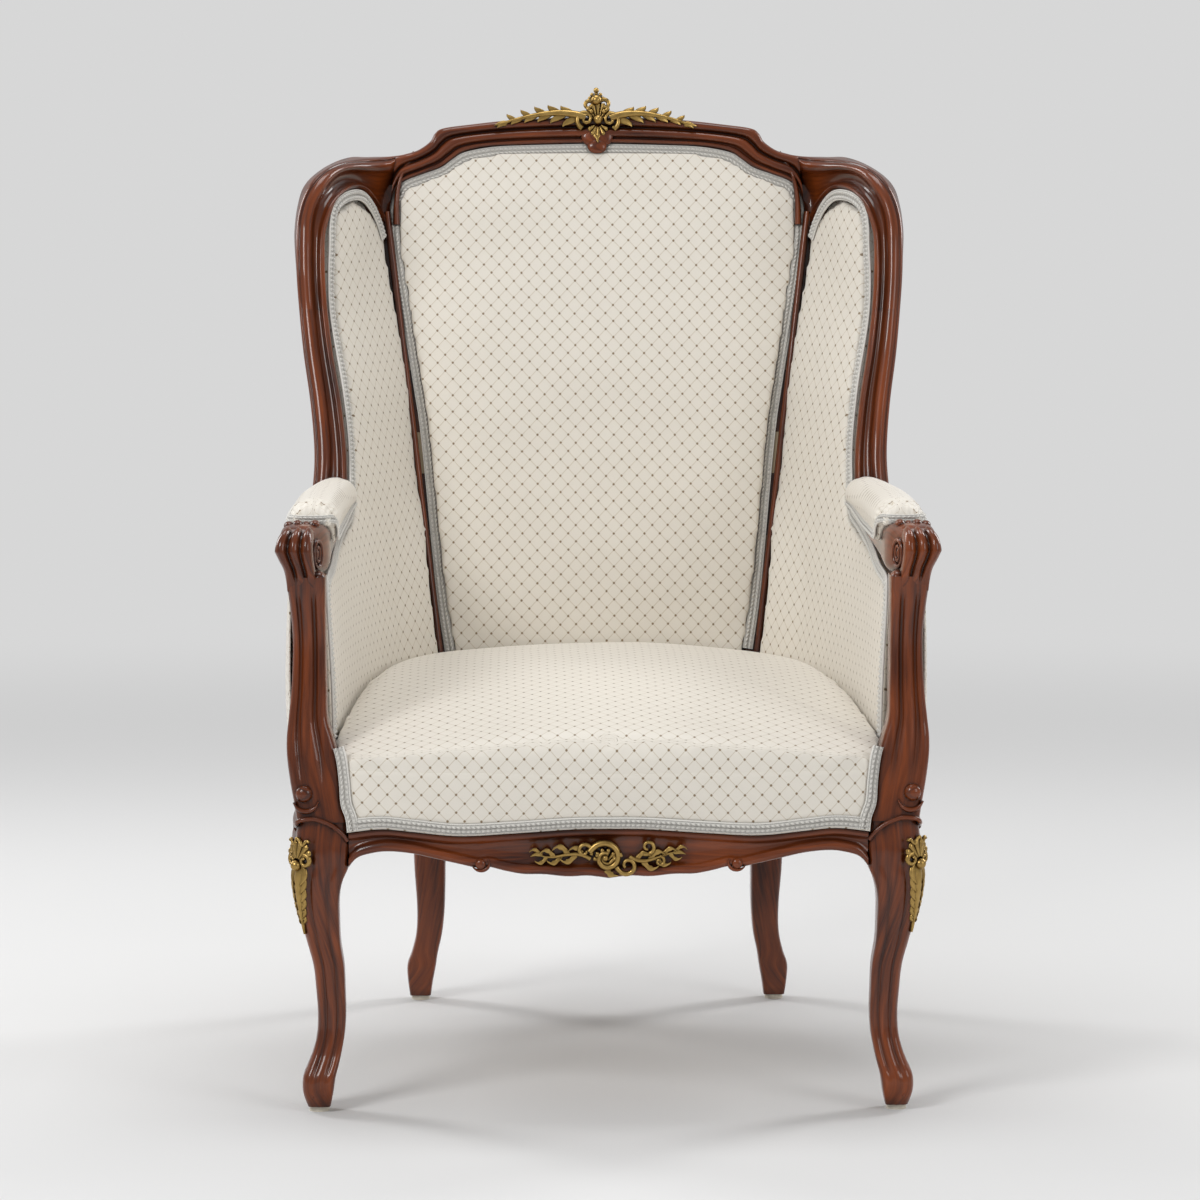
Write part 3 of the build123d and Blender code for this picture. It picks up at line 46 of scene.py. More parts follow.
# The chair's source measures y from a plane of its own: the rear glides end at this y there
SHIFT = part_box("foot_glides")[1][1] / MM - 337.0


def lerp(a, b, t):
    """Value at a share of the way from a to b."""
    return a + (b - a) * t


def smooth(a, b, x):
    """Eased step: 0 up to a, 1 from b on."""
    t = min(1.0, max(0.0, (x - a) / (b - a)))
    return t * t * (3 - 2 * t)


def dense(rows, n, closed=False):
    """Smooth run through rows of numbers, n steps between each two."""
    rows = [tuple(r) for r in rows]
    last = len(rows) - 1
    out = []
    for i in range(len(rows) if closed else last):
        if closed:
            p = [rows[(i + k) % len(rows)] for k in (-1, 0, 1, 2)]
        else:
            p = [rows[max(i - 1, 0)], rows[i], rows[i + 1], rows[min(i + 2, last)]]
        for s in range(n):
            t = s / n
            out.append(tuple(
                0.5 * (2 * b + (c - a) * t + (2 * a - 5 * b + 4 * c - d) * t * t
                       + (3 * b - a - 3 * c + d) * t ** 3)
                for a, b, c, d in zip(*p)))
    if not closed:
        out.append(rows[-1])
    return out


def even(points, step, closed=False):
    """The run of 3D points walked at an even step."""
    pts = [Vector(p) for p in points]
    if closed:
        pts.append(pts[0].copy())
    runs = [0.0]
    for a, b in zip(pts, pts[1:]):
        runs.append(runs[-1] + (b - a).length)
    count = max(2, round(runs[-1] / step))
    out, k = [], 0
    for i in range(count if closed else count + 1):
        d = runs[-1] * i / count
        while k < len(pts) - 2 and runs[k + 1] < d:
            k += 1
        t = (d - runs[k]) / max(1e-9, runs[k + 1] - runs[k])
        out.append(pts[k].lerp(pts[k + 1], t))
    return out


# --- materials ---
def nodes_of(name):
    """New material with its node tree and its main shader."""
    m = bpy.data.materials.new(name)
    m.use_nodes = True
    t = m.node_tree
    return m, t, t.nodes["Principled BSDF"]


def plug(socket, v):
    """Puts a number, a vector, a colour or another node's output into an input."""
    if isinstance(v, bpy.types.NodeSocket):
        socket.id_data.links.new(v, socket)
    elif isinstance(v, tuple) and len(socket.default_value) == 4:
        socket.default_value = (*v, 1)
    else:
        socket.default_value = v


def feed(n, **values):
    """Fills a node's inputs by their names, with _ for each space."""
    for key, v in values.items():
        plug(n.inputs[key.replace("_", " ")], v)


def add(t, kind, **values):
    """New shader node with some of its inputs filled."""
    n = t.nodes.new("ShaderNode" + kind)
    feed(n, **values)
    return n


def reckon(t, operation, *values):
    """Output of a maths node."""
    n = add(t, "Math")
    n.operation = operation
    for socket, v in zip(n.inputs, values):
        plug(socket, v)
    return n.outputs[0]


def mix_colour(t, factor, a, b):
    """Output of a node that mixes two colours."""
    n = add(t, "Mix")
    n.data_type = "RGBA"
    for k, v in ((0, factor), (6, a), (7, b)):
        plug(n.inputs[k], v)
    return n.outputs[2]


def cloth_place(t):
    """Place on the mesh's own flat pattern, in metres."""
    uv = add(t, "UVMap")
    uv.uv_map = "UVMap"
    return uv.outputs[0]


def solid_place(t):
    """Place in the object's own space, in metres."""
    return add(t, "TexCoord").outputs["Object"]


def painted_shade_factor(t, distance, power):
    """Mask for painted shade: 1 on open surfaces, falling towards 0 in crevices of the given width."""
    shade = add(t, "AmbientOcclusion", Distance=distance)
    shade.samples = 8
    return reckon(t, "POWER", shade.outputs["AO"], power)


def raise_by(t, p, height, strength, distance):
    """Raises the surface by a height map, a fraction of a millimetre."""
    bump = add(t, "Bump", Strength=strength, Distance=distance, Height=height)
    feed(p, Normal=bump.outputs[0])


WOOD_STOPS = ((0.33, (0.030, 0.0050, 0.0016, 1)), (0.70, (0.270, 0.056, 0.008, 1)))
# Near-black brown painted into the wood's crevices as shade
WOOD_PAINTED_SHADE = (0.012, 0.003, 0.0015)


def wood_material():
    """Red-brown wood under thin polish, its figure drawn out along the members, with painted shade in its
    crevices.
    """
    m, t, p = nodes_of("polished_wood")
    drawn_out = add(t, "Mapping", Vector=cloth_place(t), Scale=(9.0, 160.0, 1.0)).outputs[0]
    grain = add(t, "TexNoise", Vector=drawn_out, Scale=1.0, Detail=6.0, Roughness=0.62,
                Distortion=0.5).outputs[0]
    broad = add(t, "TexNoise", Vector=solid_place(t), Scale=7.0, Detail=2.0).outputs[0]
    ramp = add(t, "ValToRGB")
    for stop, (position, colour) in zip(ramp.color_ramp.elements, WOOD_STOPS):
        stop.position, stop.color = position, colour
    plug(ramp.inputs[0], reckon(t, "MULTIPLY_ADD", grain, 0.62, reckon(t, "MULTIPLY", broad, 0.38)))
    # Painted shade: the base colour falls to near-black in crevices, by ambient occlusion
    feed(p, Base_Color=mix_colour(t, painted_shade_factor(t, 0.016, 1.5), WOOD_PAINTED_SHADE, ramp.outputs[0]), Roughness=0.32,
         Specular_IOR_Level=0.22, Coat_Weight=0.55, Coat_Roughness=0.05, Coat_IOR=1.5)
    raise_by(t, p, grain, 0.10, 0.0004)
    return m


LATTICE_W, LATTICE_H = 18.4, 19.8
IVORY, LINE_GOLD, DOT_BROWN = (0.80, 0.755, 0.675), (0.50, 0.405, 0.275), (0.205, 0.135, 0.062)


def brocade_material():
    """Ivory cloth with a diamond lattice of thin lines and a dot on each crossing."""
    m, t, p = nodes_of("brocade")
    uv = cloth_place(t)
    wobble = add(t, "TexNoise", Vector=uv, Scale=9.0, Detail=1.0).outputs[0]
    sway = reckon(t, "MULTIPLY", reckon(t, "SUBTRACT", wobble, 0.5), 0.25)
    split = add(t, "SeparateXYZ", Vector=uv).outputs
    x, y = [reckon(t, "ADD", reckon(t, "DIVIDE", run, size * MM), sway)
            for run, size in zip(split, (LATTICE_W, LATTICE_H))]

    def to_line(v):
        return reckon(t, "ABSOLUTE", reckon(t, "SUBTRACT", v, reckon(t, "ROUND", v)))

    def below(v, edge, soft):
        n = add(t, "MapRange", Value=v, From_Min=edge + soft, From_Max=edge - soft)
        n.interpolation_type = "SMOOTHSTEP"
        return n.outputs[0]

    a, b = to_line(reckon(t, "ADD", x, y)), to_line(reckon(t, "SUBTRACT", x, y))
    line = below(reckon(t, "MINIMUM", a, b), 0.030, 0.014)
    dot = below(reckon(t, "MAXIMUM", a, b), 0.088, 0.020)
    colour = mix_colour(t, reckon(t, "MULTIPLY", line, 0.52), IVORY, LINE_GOLD)
    colour = mix_colour(t, reckon(t, "MULTIPLY", dot, 0.92), colour, DOT_BROWN)
    feed(p, Base_Color=colour, Roughness=reckon(t, "SUBTRACT", 0.50, reckon(t, "MULTIPLY", line, 0.14)),
         Sheen_Weight=0.25, Sheen_Roughness=0.4, Specular_IOR_Level=0.42)
    threads = add(t, "TexWave", Vector=uv, Scale=900.0, Distortion=0.6).outputs[1]
    raise_by(t, p, reckon(t, "ADD", reckon(t, "MULTIPLY", threads, 0.16), line), 0.30, 0.0005)
    return m


def gimp_material():
    """Off-white braid, with painted shade turning its depths between the threads grey."""
    m, t, p = nodes_of("gimp_braid")
    # Painted shade: dark grey where ambient occlusion finds the depths between threads
    feed(p, Base_Color=mix_colour(t, painted_shade_factor(t, 0.004, 1.7), (0.17, 0.155, 0.14), (0.80, 0.78, 0.73)),
         Roughness=0.72, Sheen_Weight=0.3)
    return m


def bronze_material():
    """Worn gilding, with painted shade darkening the recesses."""
    m, t, p = nodes_of("gilt_bronze")
    mottle = add(t, "TexNoise", Vector=solid_place(t), Scale=90.0, Detail=4.0).outputs[0]
    gold = mix_colour(t, mottle, (0.30, 0.18, 0.052), (0.56, 0.38, 0.13))
    # Painted shade: the gold falls to dark brown in the recesses, by ambient occlusion
    feed(p, Base_Color=mix_colour(t, painted_shade_factor(t, 0.006, 2.0), (0.05, 0.028, 0.010), gold), Metallic=1.0,
         Roughness=reckon(t, "MULTIPLY_ADD", mottle, 0.22, 0.24))
    return m


def plain_material(name, colour, roughness, metallic=0.0):
    """One even colour, for what is hardly seen."""
    m, t, p = nodes_of(name)
    feed(p, Base_Color=colour, Roughness=roughness, Metallic=metallic)
    return m


WOOD = wood_material()
BROCADE = brocade_material()
GIMP = gimp_material()
BRONZE = bronze_material()
RAW_WOOD = plain_material("frame_wood", (0.50, 0.36, 0.21), 0.6)
SACKING = plain_material("sacking", (0.30, 0.23, 0.15), 0.9)
WEBBING = plain_material("webbing", (0.42, 0.33, 0.22), 0.85)
STEEL = plain_material("spring_steel", (0.36, 0.35, 0.33), 0.4, 0.9)
FELT = plain_material("felt", (0.62, 0.57, 0.48), 0.9)


# --- meshes ---
def shown(name, data):
    """New object in the scene."""
    o = bpy.data.objects.new(name, data)
    bpy.context.scene.collection.objects.link(o)
    return o


def to_mesh(name, points, faces, material, uvs=None):
    """points in the chair's own millimetres; uvs one pair in millimetres for each point."""
    mesh = bpy.data.meshes.new(name)
    mesh.from_pydata([(x * MM, (y + SHIFT) * MM, z * MM) for x, y, z in points], [], faces)
    mesh.update()
    mesh.polygons.foreach_set("use_smooth", [True] * len(mesh.polygons))
    layer = mesh.uv_layers.new(name="UVMap")
    if uvs:
        for loop in mesh.loops:
            u, v = uvs[loop.vertex_index]
            layer.data[loop.index].uv = (u * MM, v * MM)
    mesh.materials.append(material)
    return shown(name, mesh)


def tube_faces(rings, count, wrap=False):
    """Faces between rings of equal count."""
    faces = []
    for i in range(rings if wrap else rings - 1):
        j = (i + 1) % rings
        for k in range(count):
            m = (k + 1) % count
            faces.append((i * count + k, i * count + m, j * count + m, j * count + k))
    return faces


def skin(name, rings, material, wrap=False):
    """Closed skin over a run of rings of points, capped at both ends or wrapped into a loop."""
    count = len(rings[0])
    points, uvs = [], []
    along = 0.0
    for i, ring in enumerate(rings):
        if i:
            along += (Vector(ring[0]) - Vector(rings[i - 1][0])).length
        around = 0.0
        for k, p in enumerate(ring):
            if k:
                around += (Vector(p) - Vector(ring[k - 1])).length
            points.append(tuple(p))
            uvs.append((along, around))
    faces = tube_faces(len(rings), count, wrap)
    if not wrap:
        for first, ring in ((0, rings[0]), ((len(rings) - 1) * count, rings[-1])):
            middle = sum((Vector(p) for p in ring), Vector()) / count
            points.append(tuple(middle))
            uvs.append(uvs[first])
            hub = len(points) - 1
            for k in range(count):
                a, b = first + k, first + (k + 1) % count
                faces.append((hub, b, a) if first == 0 else (hub, a, b))
    o = to_mesh(name, points, faces, material, uvs)
    if not wrap:
        last = (len(rings) - 1) * count
        for e in o.data.edges:
            a, b = e.vertices
            if (a < count and b < count) or (last <= a < last + count and last <= b < last + count):
                e.use_edge_sharp = True
    outward(o)
    return o


def outward(o):
    """Turns all faces outwards."""
    b = bmesh.new()
    b.from_mesh(o.data)
    bmesh.ops.recalc_face_normals(b, faces=b.faces)
    b.to_mesh(o.data)
    b.free()


def mirror(o, name):
    """A copy of a right-hand piece for the left side."""
    mesh = o.data.copy()
    for v in mesh.vertices:
        v.co.x = -v.co.x
    mesh.flip_normals()
    return shown(name, mesh)


def enter(o, name, nodes):
    """Names the piece, hangs it on the root body and hides the CAD solids it takes the place of."""
    o.name = name
    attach(o, "root")
    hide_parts(*nodes)


def both_sides(o, stem, nodes):
    """Enters a right-hand piece and its copy on the left."""
    left = mirror(o, stem + "_left")
    for piece, side in ((o, "_right"), (left, "_left")):
        enter(piece, stem + side, [n + side for n in nodes])


def join(name, objects):
    """One mesh out of several."""
    b = bmesh.new()
    for o in objects:
        b.from_mesh(o.data)
    mesh = bpy.data.meshes.new(name)
    first = objects[0].data
    for m in first.materials:
        mesh.materials.append(m)
    b.to_mesh(mesh)
    b.free()
    for old in objects:
        bpy.data.objects.remove(old)
    return shown(name, mesh)


# --- the chair's sizes, in its own millimetres ---
LEG_TOP, BAND_TOP, RAIL_TOP = 322.0, 316.0, 345.0
SEAT_LINE, ARM_JOINT, ARM_TOP, WING_JOINT, CREST_TOP = 444.0, 588.0, 640.0, 858.0, 1083.0
KNEE_X, ARM_X, WING_X, BACK_X, FOOT_X = 341.5, 357.0, 359.4, 253.6, 218.0
SEAT_Y, KNEE_Y, APRON_Y = -371.0, -339.0, -352.0
POST_FOOT_Y, POST_TOP_Y, BACK_Y, BACK_FOOT_Y = 84.0, 162.0, 234.0, 326.0
LEAN = radians(9.83)
KNEE_W, KNEE_D, STUMP_D, POST_D, CREST_D = 59.5, 63.0, 52.0, 38.0, 32.0
STILE_W, STILE_D, STILE_BEAD, PROUD, APRON_DROP = 36.0, 38.0, 8.0, 8.0, 54.0
ARM_W, GIMP_W = 46.0, 13.0
BACK_NORMAL = Vector((0, -cos(LEAN), sin(LEAN)))
BACK_UP = Vector((0, sin(LEAN), cos(LEAN)))


def back_y(z):
    """y of the leaning back's plane at a height."""
    return BACK_Y + (z - SEAT_LINE) * tan(LEAN)


def up_back(z):
    """Length along the leaning back from the seat line to a height."""
    return (z - SEAT_LINE) / cos(LEAN)


def on_back(x, s, out):
    """Point of the leaning back: across, up along it and out in front of the rebate."""
    return Vector((x, BACK_Y, SEAT_LINE)) + BACK_UP * s + BACK_NORMAL * out


def stile_x(z):
    """x of the stile's middle line at a height."""
    share = (z - SEAT_LINE) / (WING_JOINT - SEAT_LINE)
    return lerp(BACK_X * 0.757, BACK_X * 0.953, share)


# --- mouldings: u from the outer edge to the inner, v from the front to the back ---
def back_of(w, d, r):
    """The plain back of a section, from the inner edge round to the outer."""
    return [(w, lerp(8, d - r, 0.5)), (w, d - r), (w - r * 0.3, d - r * 0.3), (w - r, d), (w * 0.5, d),
            (r, d), (r * 0.3, d - r * 0.3), (0, d - r), (0, lerp(9, d - r, 0.5))]


def wing_profile(w, d, deep):
    """Broad rounded moulding, a hollow and a narrow inner bead."""
    b = min(19.5, 0.56 * w)
    k = b / 19.5
    front = [(0, 9), (0.3 * k, 6.2), (1.5 * k, 3.4), (3.0 * k, 2.0), (3.9 * k, 3.1), (4.8 * k, 1.6),
             (6.5 * k, -0.3), (9.0 * k, -1.7), (12.0 * k, -2.2), (15.0 * k, -1.4), (17.4 * k, 0.6),
             (18.9 * k, 3.2), (b, 4.8)]
    end = w - 7.0
    dip = min(9.0, 3.0 + max(0.0, w - 34) * 0.14) * deep
    for s in (0.1, 0.3, 0.5, 0.7, 0.9):
        front.append((lerp(b, end, s), 4.6 + dip * sin(pi * s) ** 0.8))
    front += [(end, 4.0), (end + 0.9, 1.6), (end + 2.2, 0.7), (end + 3.5, 1.4), (end + 4.3, 3.6),
              (end + 5.6, 4.4), (w - 0.4, 5.6), (w, 8)]
    return front + back_of(w, d, 6)


def crest_profile(w, d, deep):
    """Two rolls parted by a groove and a small inner bead."""
    front = [(0, 9), (0.4, 5.4), (1.8, 2.4), (0.10 * w, 0.4), (0.17 * w, -0.6), (0.25 * w, -0.6),
             (0.32 * w, 0.6), (0.355 * w, 2.6), (0.375 * w, 6.2), (0.41 * w, 6.8), (0.44 * w, 3.4),
             (0.48 * w, 0.4), (0.55 * w, -1.6), (0.64 * w, -2.2), (0.72 * w, -1.2)]
    end = max(0.78 * w, w - 9.0)
    front += [(lerp(0.72 * w, end, 0.6), 0.8), (end, 4.6), (lerp(end, w, 0.16), 4.8), (lerp(end, w, 0.32), 1.6),
              (lerp(end, w, 0.52), 0.2), (lerp(end, w, 0.74), 0.8), (lerp(end, w, 0.9), 3.0), (w, 6.5)]
    return front + back_of(w, d, 4)


def stump_profile(w, d, deep):
    """Three reeds parted by two grooves."""
    g = deep
    front = [(0, 9), (0.5, 5.2), (2.2, 2.2), (0.11 * w, 0.6), (0.17 * w, 0.5), (0.21 * w, 0.6 + 1.8 * g),
             (0.25 * w, 0.6 + 3.9 * g), (0.30 * w, 0.6 + 2.2 * g), (0.35 * w, 0.2), (0.42 * w, -0.9),
             (0.50 * w, -1.2), (0.57 * w, -0.7), (0.63 * w, 0.2 + 1.6 * g), (0.68 * w, 0.4 + 4.4 * g),
             (0.73 * w, 0.4 + 2.0 * g), (0.78 * w, 0.2), (0.86 * w, -0.4), (w - 3, 0.8), (w - 0.8, 2.8), (w, 7)]
    return front + back_of(w, d, 7)


def level(outer, inner, y, z, depth, offset=0.0):
    """Station of a member whose section lies across the chair, between two values of x."""
    return Vector((outer, y, z)), Vector((inner, y, z)), Vector((0, 1, 0)), depth, offset


def stations(spokes, n):
    """Dense run of (outer, inner, back, depth, offset) rows."""
    rows = [(*a, *b, *v, d, o) for a, b, v, d, o in spokes]
    out = []
    for r in dense(rows, n):
        out.append((Vector(r[0:3]), Vector(r[3:6]), Vector(r[6:9]).normalized(), r[9], r[10]))
    return out


def member(name, run, profile, depth_of=None):
    """Wood with a moulding's profile along stations of (outer, inner, back, depth, offset)."""
    rings = []
    last = len(run) - 1
    for i, (outer, inner, back, depth, offset) in enumerate(run):
        along = inner - outer
        w = along.length
        u = along.normalized()
        v = (back - u * back.dot(u)).normalized()
        deep = depth_of(i / last) if depth_of else 1.0
        rings.append([outer + u * a + v * (b - offset) for a, b in profile(w, depth, deep)])
    return skin(name, rings, WOOD)


# (height, outer x, inner x, y) of the wing post; the wing and crest rails follow as pairs of an outer
# and an inner edge, each (x, height above the joint, depth towards the back)
POST_SHARES = [
    (-0.12, 0.956, 0.815, 0.0), (0.06, 0.937, 0.824, 0.08), (0.25, 0.932, 0.828, 0.25),
    (0.5, 0.946, 0.846, 0.52), (0.76, 0.970, 0.874, 0.79), (1.0, 0.986, 0.893, 1.0),
]
WING_SHARES = [
    ((0.986, 0.0, 0.0), (0.893, 0.0, 0.0)), ((0.996, 0.187, 0.05), (0.902, 0.178, 0.055)),
    ((1.0, 0.376, 0.10), (0.905, 0.338, 0.115)), ((0.994, 0.489, 0.145), (0.899, 0.418, 0.155)),
    ((0.977, 0.587, 0.19), (0.882, 0.507, 0.225)), ((0.948, 0.668, 0.25), (0.854, 0.578, 0.36)),
    ((0.907, 0.724, 0.36), (0.815, 0.613, 0.56)), ((0.854, 0.762, 0.53), (0.782, 0.596, 0.74)),
    ((0.787, 0.778, 0.70), (0.746, 0.52, 0.93)), ((0.729, 0.784, 0.89), (0.722, 0.43, 1.0)),
    ((0.679, 0.791, 1.0), (0.700, 0.50, 1.0)),
]
CREST_SHARES = [
    ((0.679, 0.791), (0.700, 0.50)), ((0.665, 0.794), (0.686, 0.585)), ((0.648, 0.80), (0.656, 0.648)),
    ((0.604, 0.822), (0.593, 0.689)), ((0.565, 0.866), (0.531, 0.726)), ((0.548, 0.91), (0.49, 0.769)),
    ((0.520, 0.938), (0.448, 0.812)), ((0.431, 0.958), (0.37, 0.838)), ((0.292, 0.982), (0.256, 0.848)),
    ((0.139, 0.996), (0.125, 0.854)), ((0.0, 1.0), (0.0, 0.856)),
]


def wing_point(a, b, c):
    """Point of the wing from shares of its half width, height and depth."""
    z = lerp(WING_JOINT, CREST_TOP, b)
    return Vector((WING_X * a, lerp(POST_TOP_Y, back_y(z), c), z))


def wing_frame():
    """Wing post and wing rail as one smooth run, parted at their joint."""
    spokes = []
    for h, a, b, c in POST_SHARES:
        z = lerp(ARM_TOP, WING_JOINT, h)
        y = lerp(POST_FOOT_Y, POST_TOP_Y, c)
        spokes.append(level(WING_X * a, WING_X * b, y, z, POST_D, POST_D / 2))
    pairs = [(wing_point(*a), wing_point(*b)) for a, b in WING_SHARES]
    middles = [(a + b) * 0.5 for a, b in pairs]
    last = len(pairs) - 1
    for i in range(1, last + 1):
        outer, inner = pairs[i]
        back = (inner - outer).cross(middles[min(i + 1, last)] - middles[i - 1])
        if i == last:
            back = -BACK_NORMAL
        share = min(1.0, i / (last - 2))
        spokes.append((outer, inner, back.normalized(), lerp(POST_D, CREST_D, share),
                       lerp(POST_D / 2, PROUD, share)))
    n = 12
    run = stations(spokes, n)
    joint = n * (len(POST_SHARES) - 1)
    post = member("wing_post", run[:joint + 1], wing_profile)
    rail = member("wing_rail", run[joint:], wing_profile)
    return post, rail


def crest():
    """Serpentine top rail, mirrored at its middle."""
    spokes = []
    for a, b in CREST_SHARES:
        spokes.append((wing_point(*a, 1.0), wing_point(*b, 1.0), -BACK_NORMAL, CREST_D, PROUD))
    for i in range(len(CREST_SHARES) - 2, -1, -1):
        outer, inner, v, d, o = spokes[i]
        spokes.append((Vector((-outer.x, outer.y, outer.z)), Vector((-inner.x, inner.y, inner.z)), v, d, o))
    run = stations(spokes, 12)
    return member("crest_rail", run, crest_profile)


def leg_profile(w, d, deep):
    """Rounded square with a corner ridge and two long grooves on each shown face."""
    r = 0.24 * w
    g = deep * min(3.0, 0.085 * w)
    front = [(0, 0.62 * d), (0.35 * g, 0.50 * d), (0, 0.40 * d), (0.01 * w, r * 1.05), (0.05 * w, r * 0.5),
             (0.13 * w, r * 0.16), (0.22 * w, 0.0), (0.28 * w, 0.35 * g), (0.32 * w, g), (0.36 * w, 0.4 * g),
             (0.42 * w, -0.02 * w), (0.52 * w, -0.035 * w), (0.62 * w, -0.02 * w), (0.68 * w, 0.4 * g),
             (0.72 * w, g), (0.76 * w, 0.3 * g), (0.84 * w, 0.0), (0.92 * w, 0.02 * w), (0.98 * w, 0.08 * w),
             (w, 0.18 * w)]
    return front + [(w, 0.5 * d), (w, d - r), (w - 0.1 * r, d - 0.4 * r), (w - 0.4 * r, d - 0.1 * r),
                    (w - r, d), (0.5 * w, d), (r, d), (0.4 * r, d - 0.1 * r), (0.1 * r, d - 0.4 * r),
                    (0, d - r)]


# (height, outer x, width, depth)
FRONT_LEG_SHARES = [
    (0.0186, 0.963, 0.42, 0.44), (0.068, 0.978, 0.56, 0.58), (0.118, 0.978, 0.60, 0.60),
    (0.161, 0.962, 0.57, 0.54), (0.205, 0.946, 0.53, 0.49), (0.261, 0.934, 0.513, 0.48),
    (0.332, 0.931, 0.52, 0.49), (0.413, 0.936, 0.54, 0.51), (0.497, 0.944, 0.57, 0.54),
    (0.581, 0.963, 0.62, 0.59), (0.661, 0.982, 0.714, 0.68), (0.736, 0.994, 0.785, 0.77),
    (0.795, 1.0, 0.88, 0.87), (0.85, 1.0, 1.0, 0.96), (0.91, 0.999, 1.0, 1.0),
    (1.0, 0.990, 0.945, 1.0),
]


def front_leg():
    """Cabriole leg from its glide to the knee."""
    run = []
    for h, a, b, c in dense(FRONT_LEG_SHARES, 8):
        outer = KNEE_X * a
        y = KNEE_Y + (KNEE_X - outer)
        run.append(level(outer, outer - KNEE_W * b, y, LEG_TOP * h, KNEE_D * c))

    def deep(t):
        return smooth(0.10, 0.2, t) * (1 - smooth(0.72, 0.95, t) * 0.6)

    return member("front_leg", run, leg_profile, deep)


# (height, outer x, inner x, y, depth)
STUMP_SHARES = [
    (0.0, 0.990, 0.826, 0.02, 1.12), (0.08, 1.0, 0.845, 0.06, 1.04), (0.16, 1.011, 0.85, 0.08, 1.0),
    (0.26, 1.021, 0.858, 0.12, 0.94), (0.34, 1.022, 0.875, 0.18, 0.88), (0.42, 1.016, 0.892, 0.24, 0.84),
    (0.55, 1.006, 0.895, 0.30, 0.82), (0.72, 1.001, 0.897, 0.32, 0.84), (0.86, 1.008, 0.897, 0.26, 0.90),
    (1.0, 1.022, 0.896, 0.16, 1.0),
]


def arm_stump():
    """Swept upright from the knee to the arm."""
    run = []
    for h, a, b, c, d in dense(STUMP_SHARES, 10):
        run.append(level(KNEE_X * a, KNEE_X * b, KNEE_Y + STUMP_D * c, lerp(LEG_TOP, ARM_JOINT, h),
                         STUMP_D * d))

    def deep(t):
        return smooth(0.14, 0.34, t) * (1 - smooth(0.90, 0.99, t))

    return member("arm_stump", run, stump_profile, deep)


def squared_circle(count, power):
    """Points of a unit circle pressed towards a square; a smaller power presses harder."""
    out = []
    for k in range(count):
        c, s = cos(2 * pi * k / count), sin(2 * pi * k / count)
        out.append((math.copysign(abs(c) ** power, c), math.copysign(abs(s) ** power, s)))
    return out


# (length, outer x, width, underside, top)
ARM_SHARES = [
    (0.0, 0.972, 0.55, 0.22, 0.84), (0.025, 0.992, 0.74, 0.04, 1.0), (0.07, 0.998, 0.95, -0.04, 1.05),
    (0.13, 0.993, 1.08, -0.04, 1.05), (0.19, 0.984, 1.04, -0.02, 0.99), (0.35, 0.982, 1.02, 0.10, 0.99),
    (0.6, 0.975, 1.0, 0.22, 0.99), (0.85, 0.958, 0.92, 0.28, 0.99), (1.0, 0.942, 0.88, 0.30, 0.99),
]


def arm_rail():
    """Arm, drawn in at its front to the width of the knuckle's face."""
    rows = dense(ARM_SHARES, 10)
    nose = [(rows[0], k / 8) for k in range(1, 8)]
    rings = []
    for (y_share, a, b, lo, hi), round_off in nose + [(r, 1.0) for r in rows]:
        y = lerp(KNEE_Y + 12, POST_FOOT_Y, y_share) - 7.0 * (1 - round_off)
        low, high = lerp(ARM_JOINT, ARM_TOP, lo), lerp(ARM_JOINT, ARM_TOP, hi)
        grow = (1 - (1 - round_off) ** 2) ** 0.5
        w, x = ARM_W * b, ARM_X * a
        near = 1 - smooth(0.10, 0.24, y_share)
        ring = []
        for k, (px, pz) in enumerate(squared_circle(72, lerp(0.42, 0.5, near))):
            tuck = 9 * near * smooth(0.4, -0.9, sin(2 * pi * k / 72)) * max(0.0, px)
            ring.append((x - w / 2 + px * grow * w / 2 - tuck, y,
                         (low + high) / 2 + pz * grow * (high - low) / 2))
        rings.append(ring)
    return skin("arm_rail", rings, WOOD)


# Millimetres above the arm's joint, then moves of the outer edge, the inner edge and the face
KNUCKLE_ROWS = [
    (-16, -2.0, 26.0, 14.0), (-4, -1.0, 25.0, 8.5), (8, 1.5, 24.0, 5.0), (19, 6.5, 20.5, 0.5),
    (28, 10.5, 17.0, -2.0),
]


def lobed(w, d, deep):
    """Three rounded lobes side by side."""
    front = [(0, 9)]
    for k in range(1, 36):
        s = k / 36
        front.append((w * s, 4.8 - deep * 7.2 * abs(sin(3 * pi * s)) ** 0.7 - (1 - deep) * 4.8))
    front.append((w, 9))
    return front + back_of(w, d, 4)


def knuckle():
    """The lobed front of the arm, rising out of the stump and rolled back over the top."""
    run = []
    for up, a, b, c in dense(KNUCKLE_ROWS, 6):
        run.append(level(ARM_X - 7.5 + a, ARM_X - 65.5 + a + b, KNEE_Y + c, ARM_JOINT + up, 30))
    outer, inner = run[-1][:2]
    steps, radius = 19, 23.0
    for k in range(1, steps + 1):
        turn = radians(118) * k / steps
        y, z = outer.y + radius * (1 - cos(turn)), outer.z + radius * sin(turn)
        drawn = 9.0 * (1 - cos(min(turn, pi / 2)))
        run.append((Vector((outer.x - drawn, y, z)), Vector((inner.x - drawn * 0.1, y, z)),
                    Vector((0, cos(turn), -sin(turn))), lerp(26, 18, min(1.0, k / 6)), 0.0))
    return member("knuckle", run, lobed, lambda t: smooth(0.0, 0.28, t))


def knuckle_leaf():
    """Wavy carved edge on top of the knuckle, and a swelling over its seam with the stump."""
    parts = [blob("seam", (ARM_X - 44, KNEE_Y + 21, ARM_JOINT - 2), (7.5, 11, 8), WOOD)]
    for k in range(4):
        place = (ARM_X * 0.985 - 5 - k * 9.4, KNEE_Y + 55 - 3 * (k % 2), ARM_TOP + 1.6 * (k % 2))
        parts.append(blob("lobe", place, (5.8, 9.0, 5.2), WOOD))
    return parts


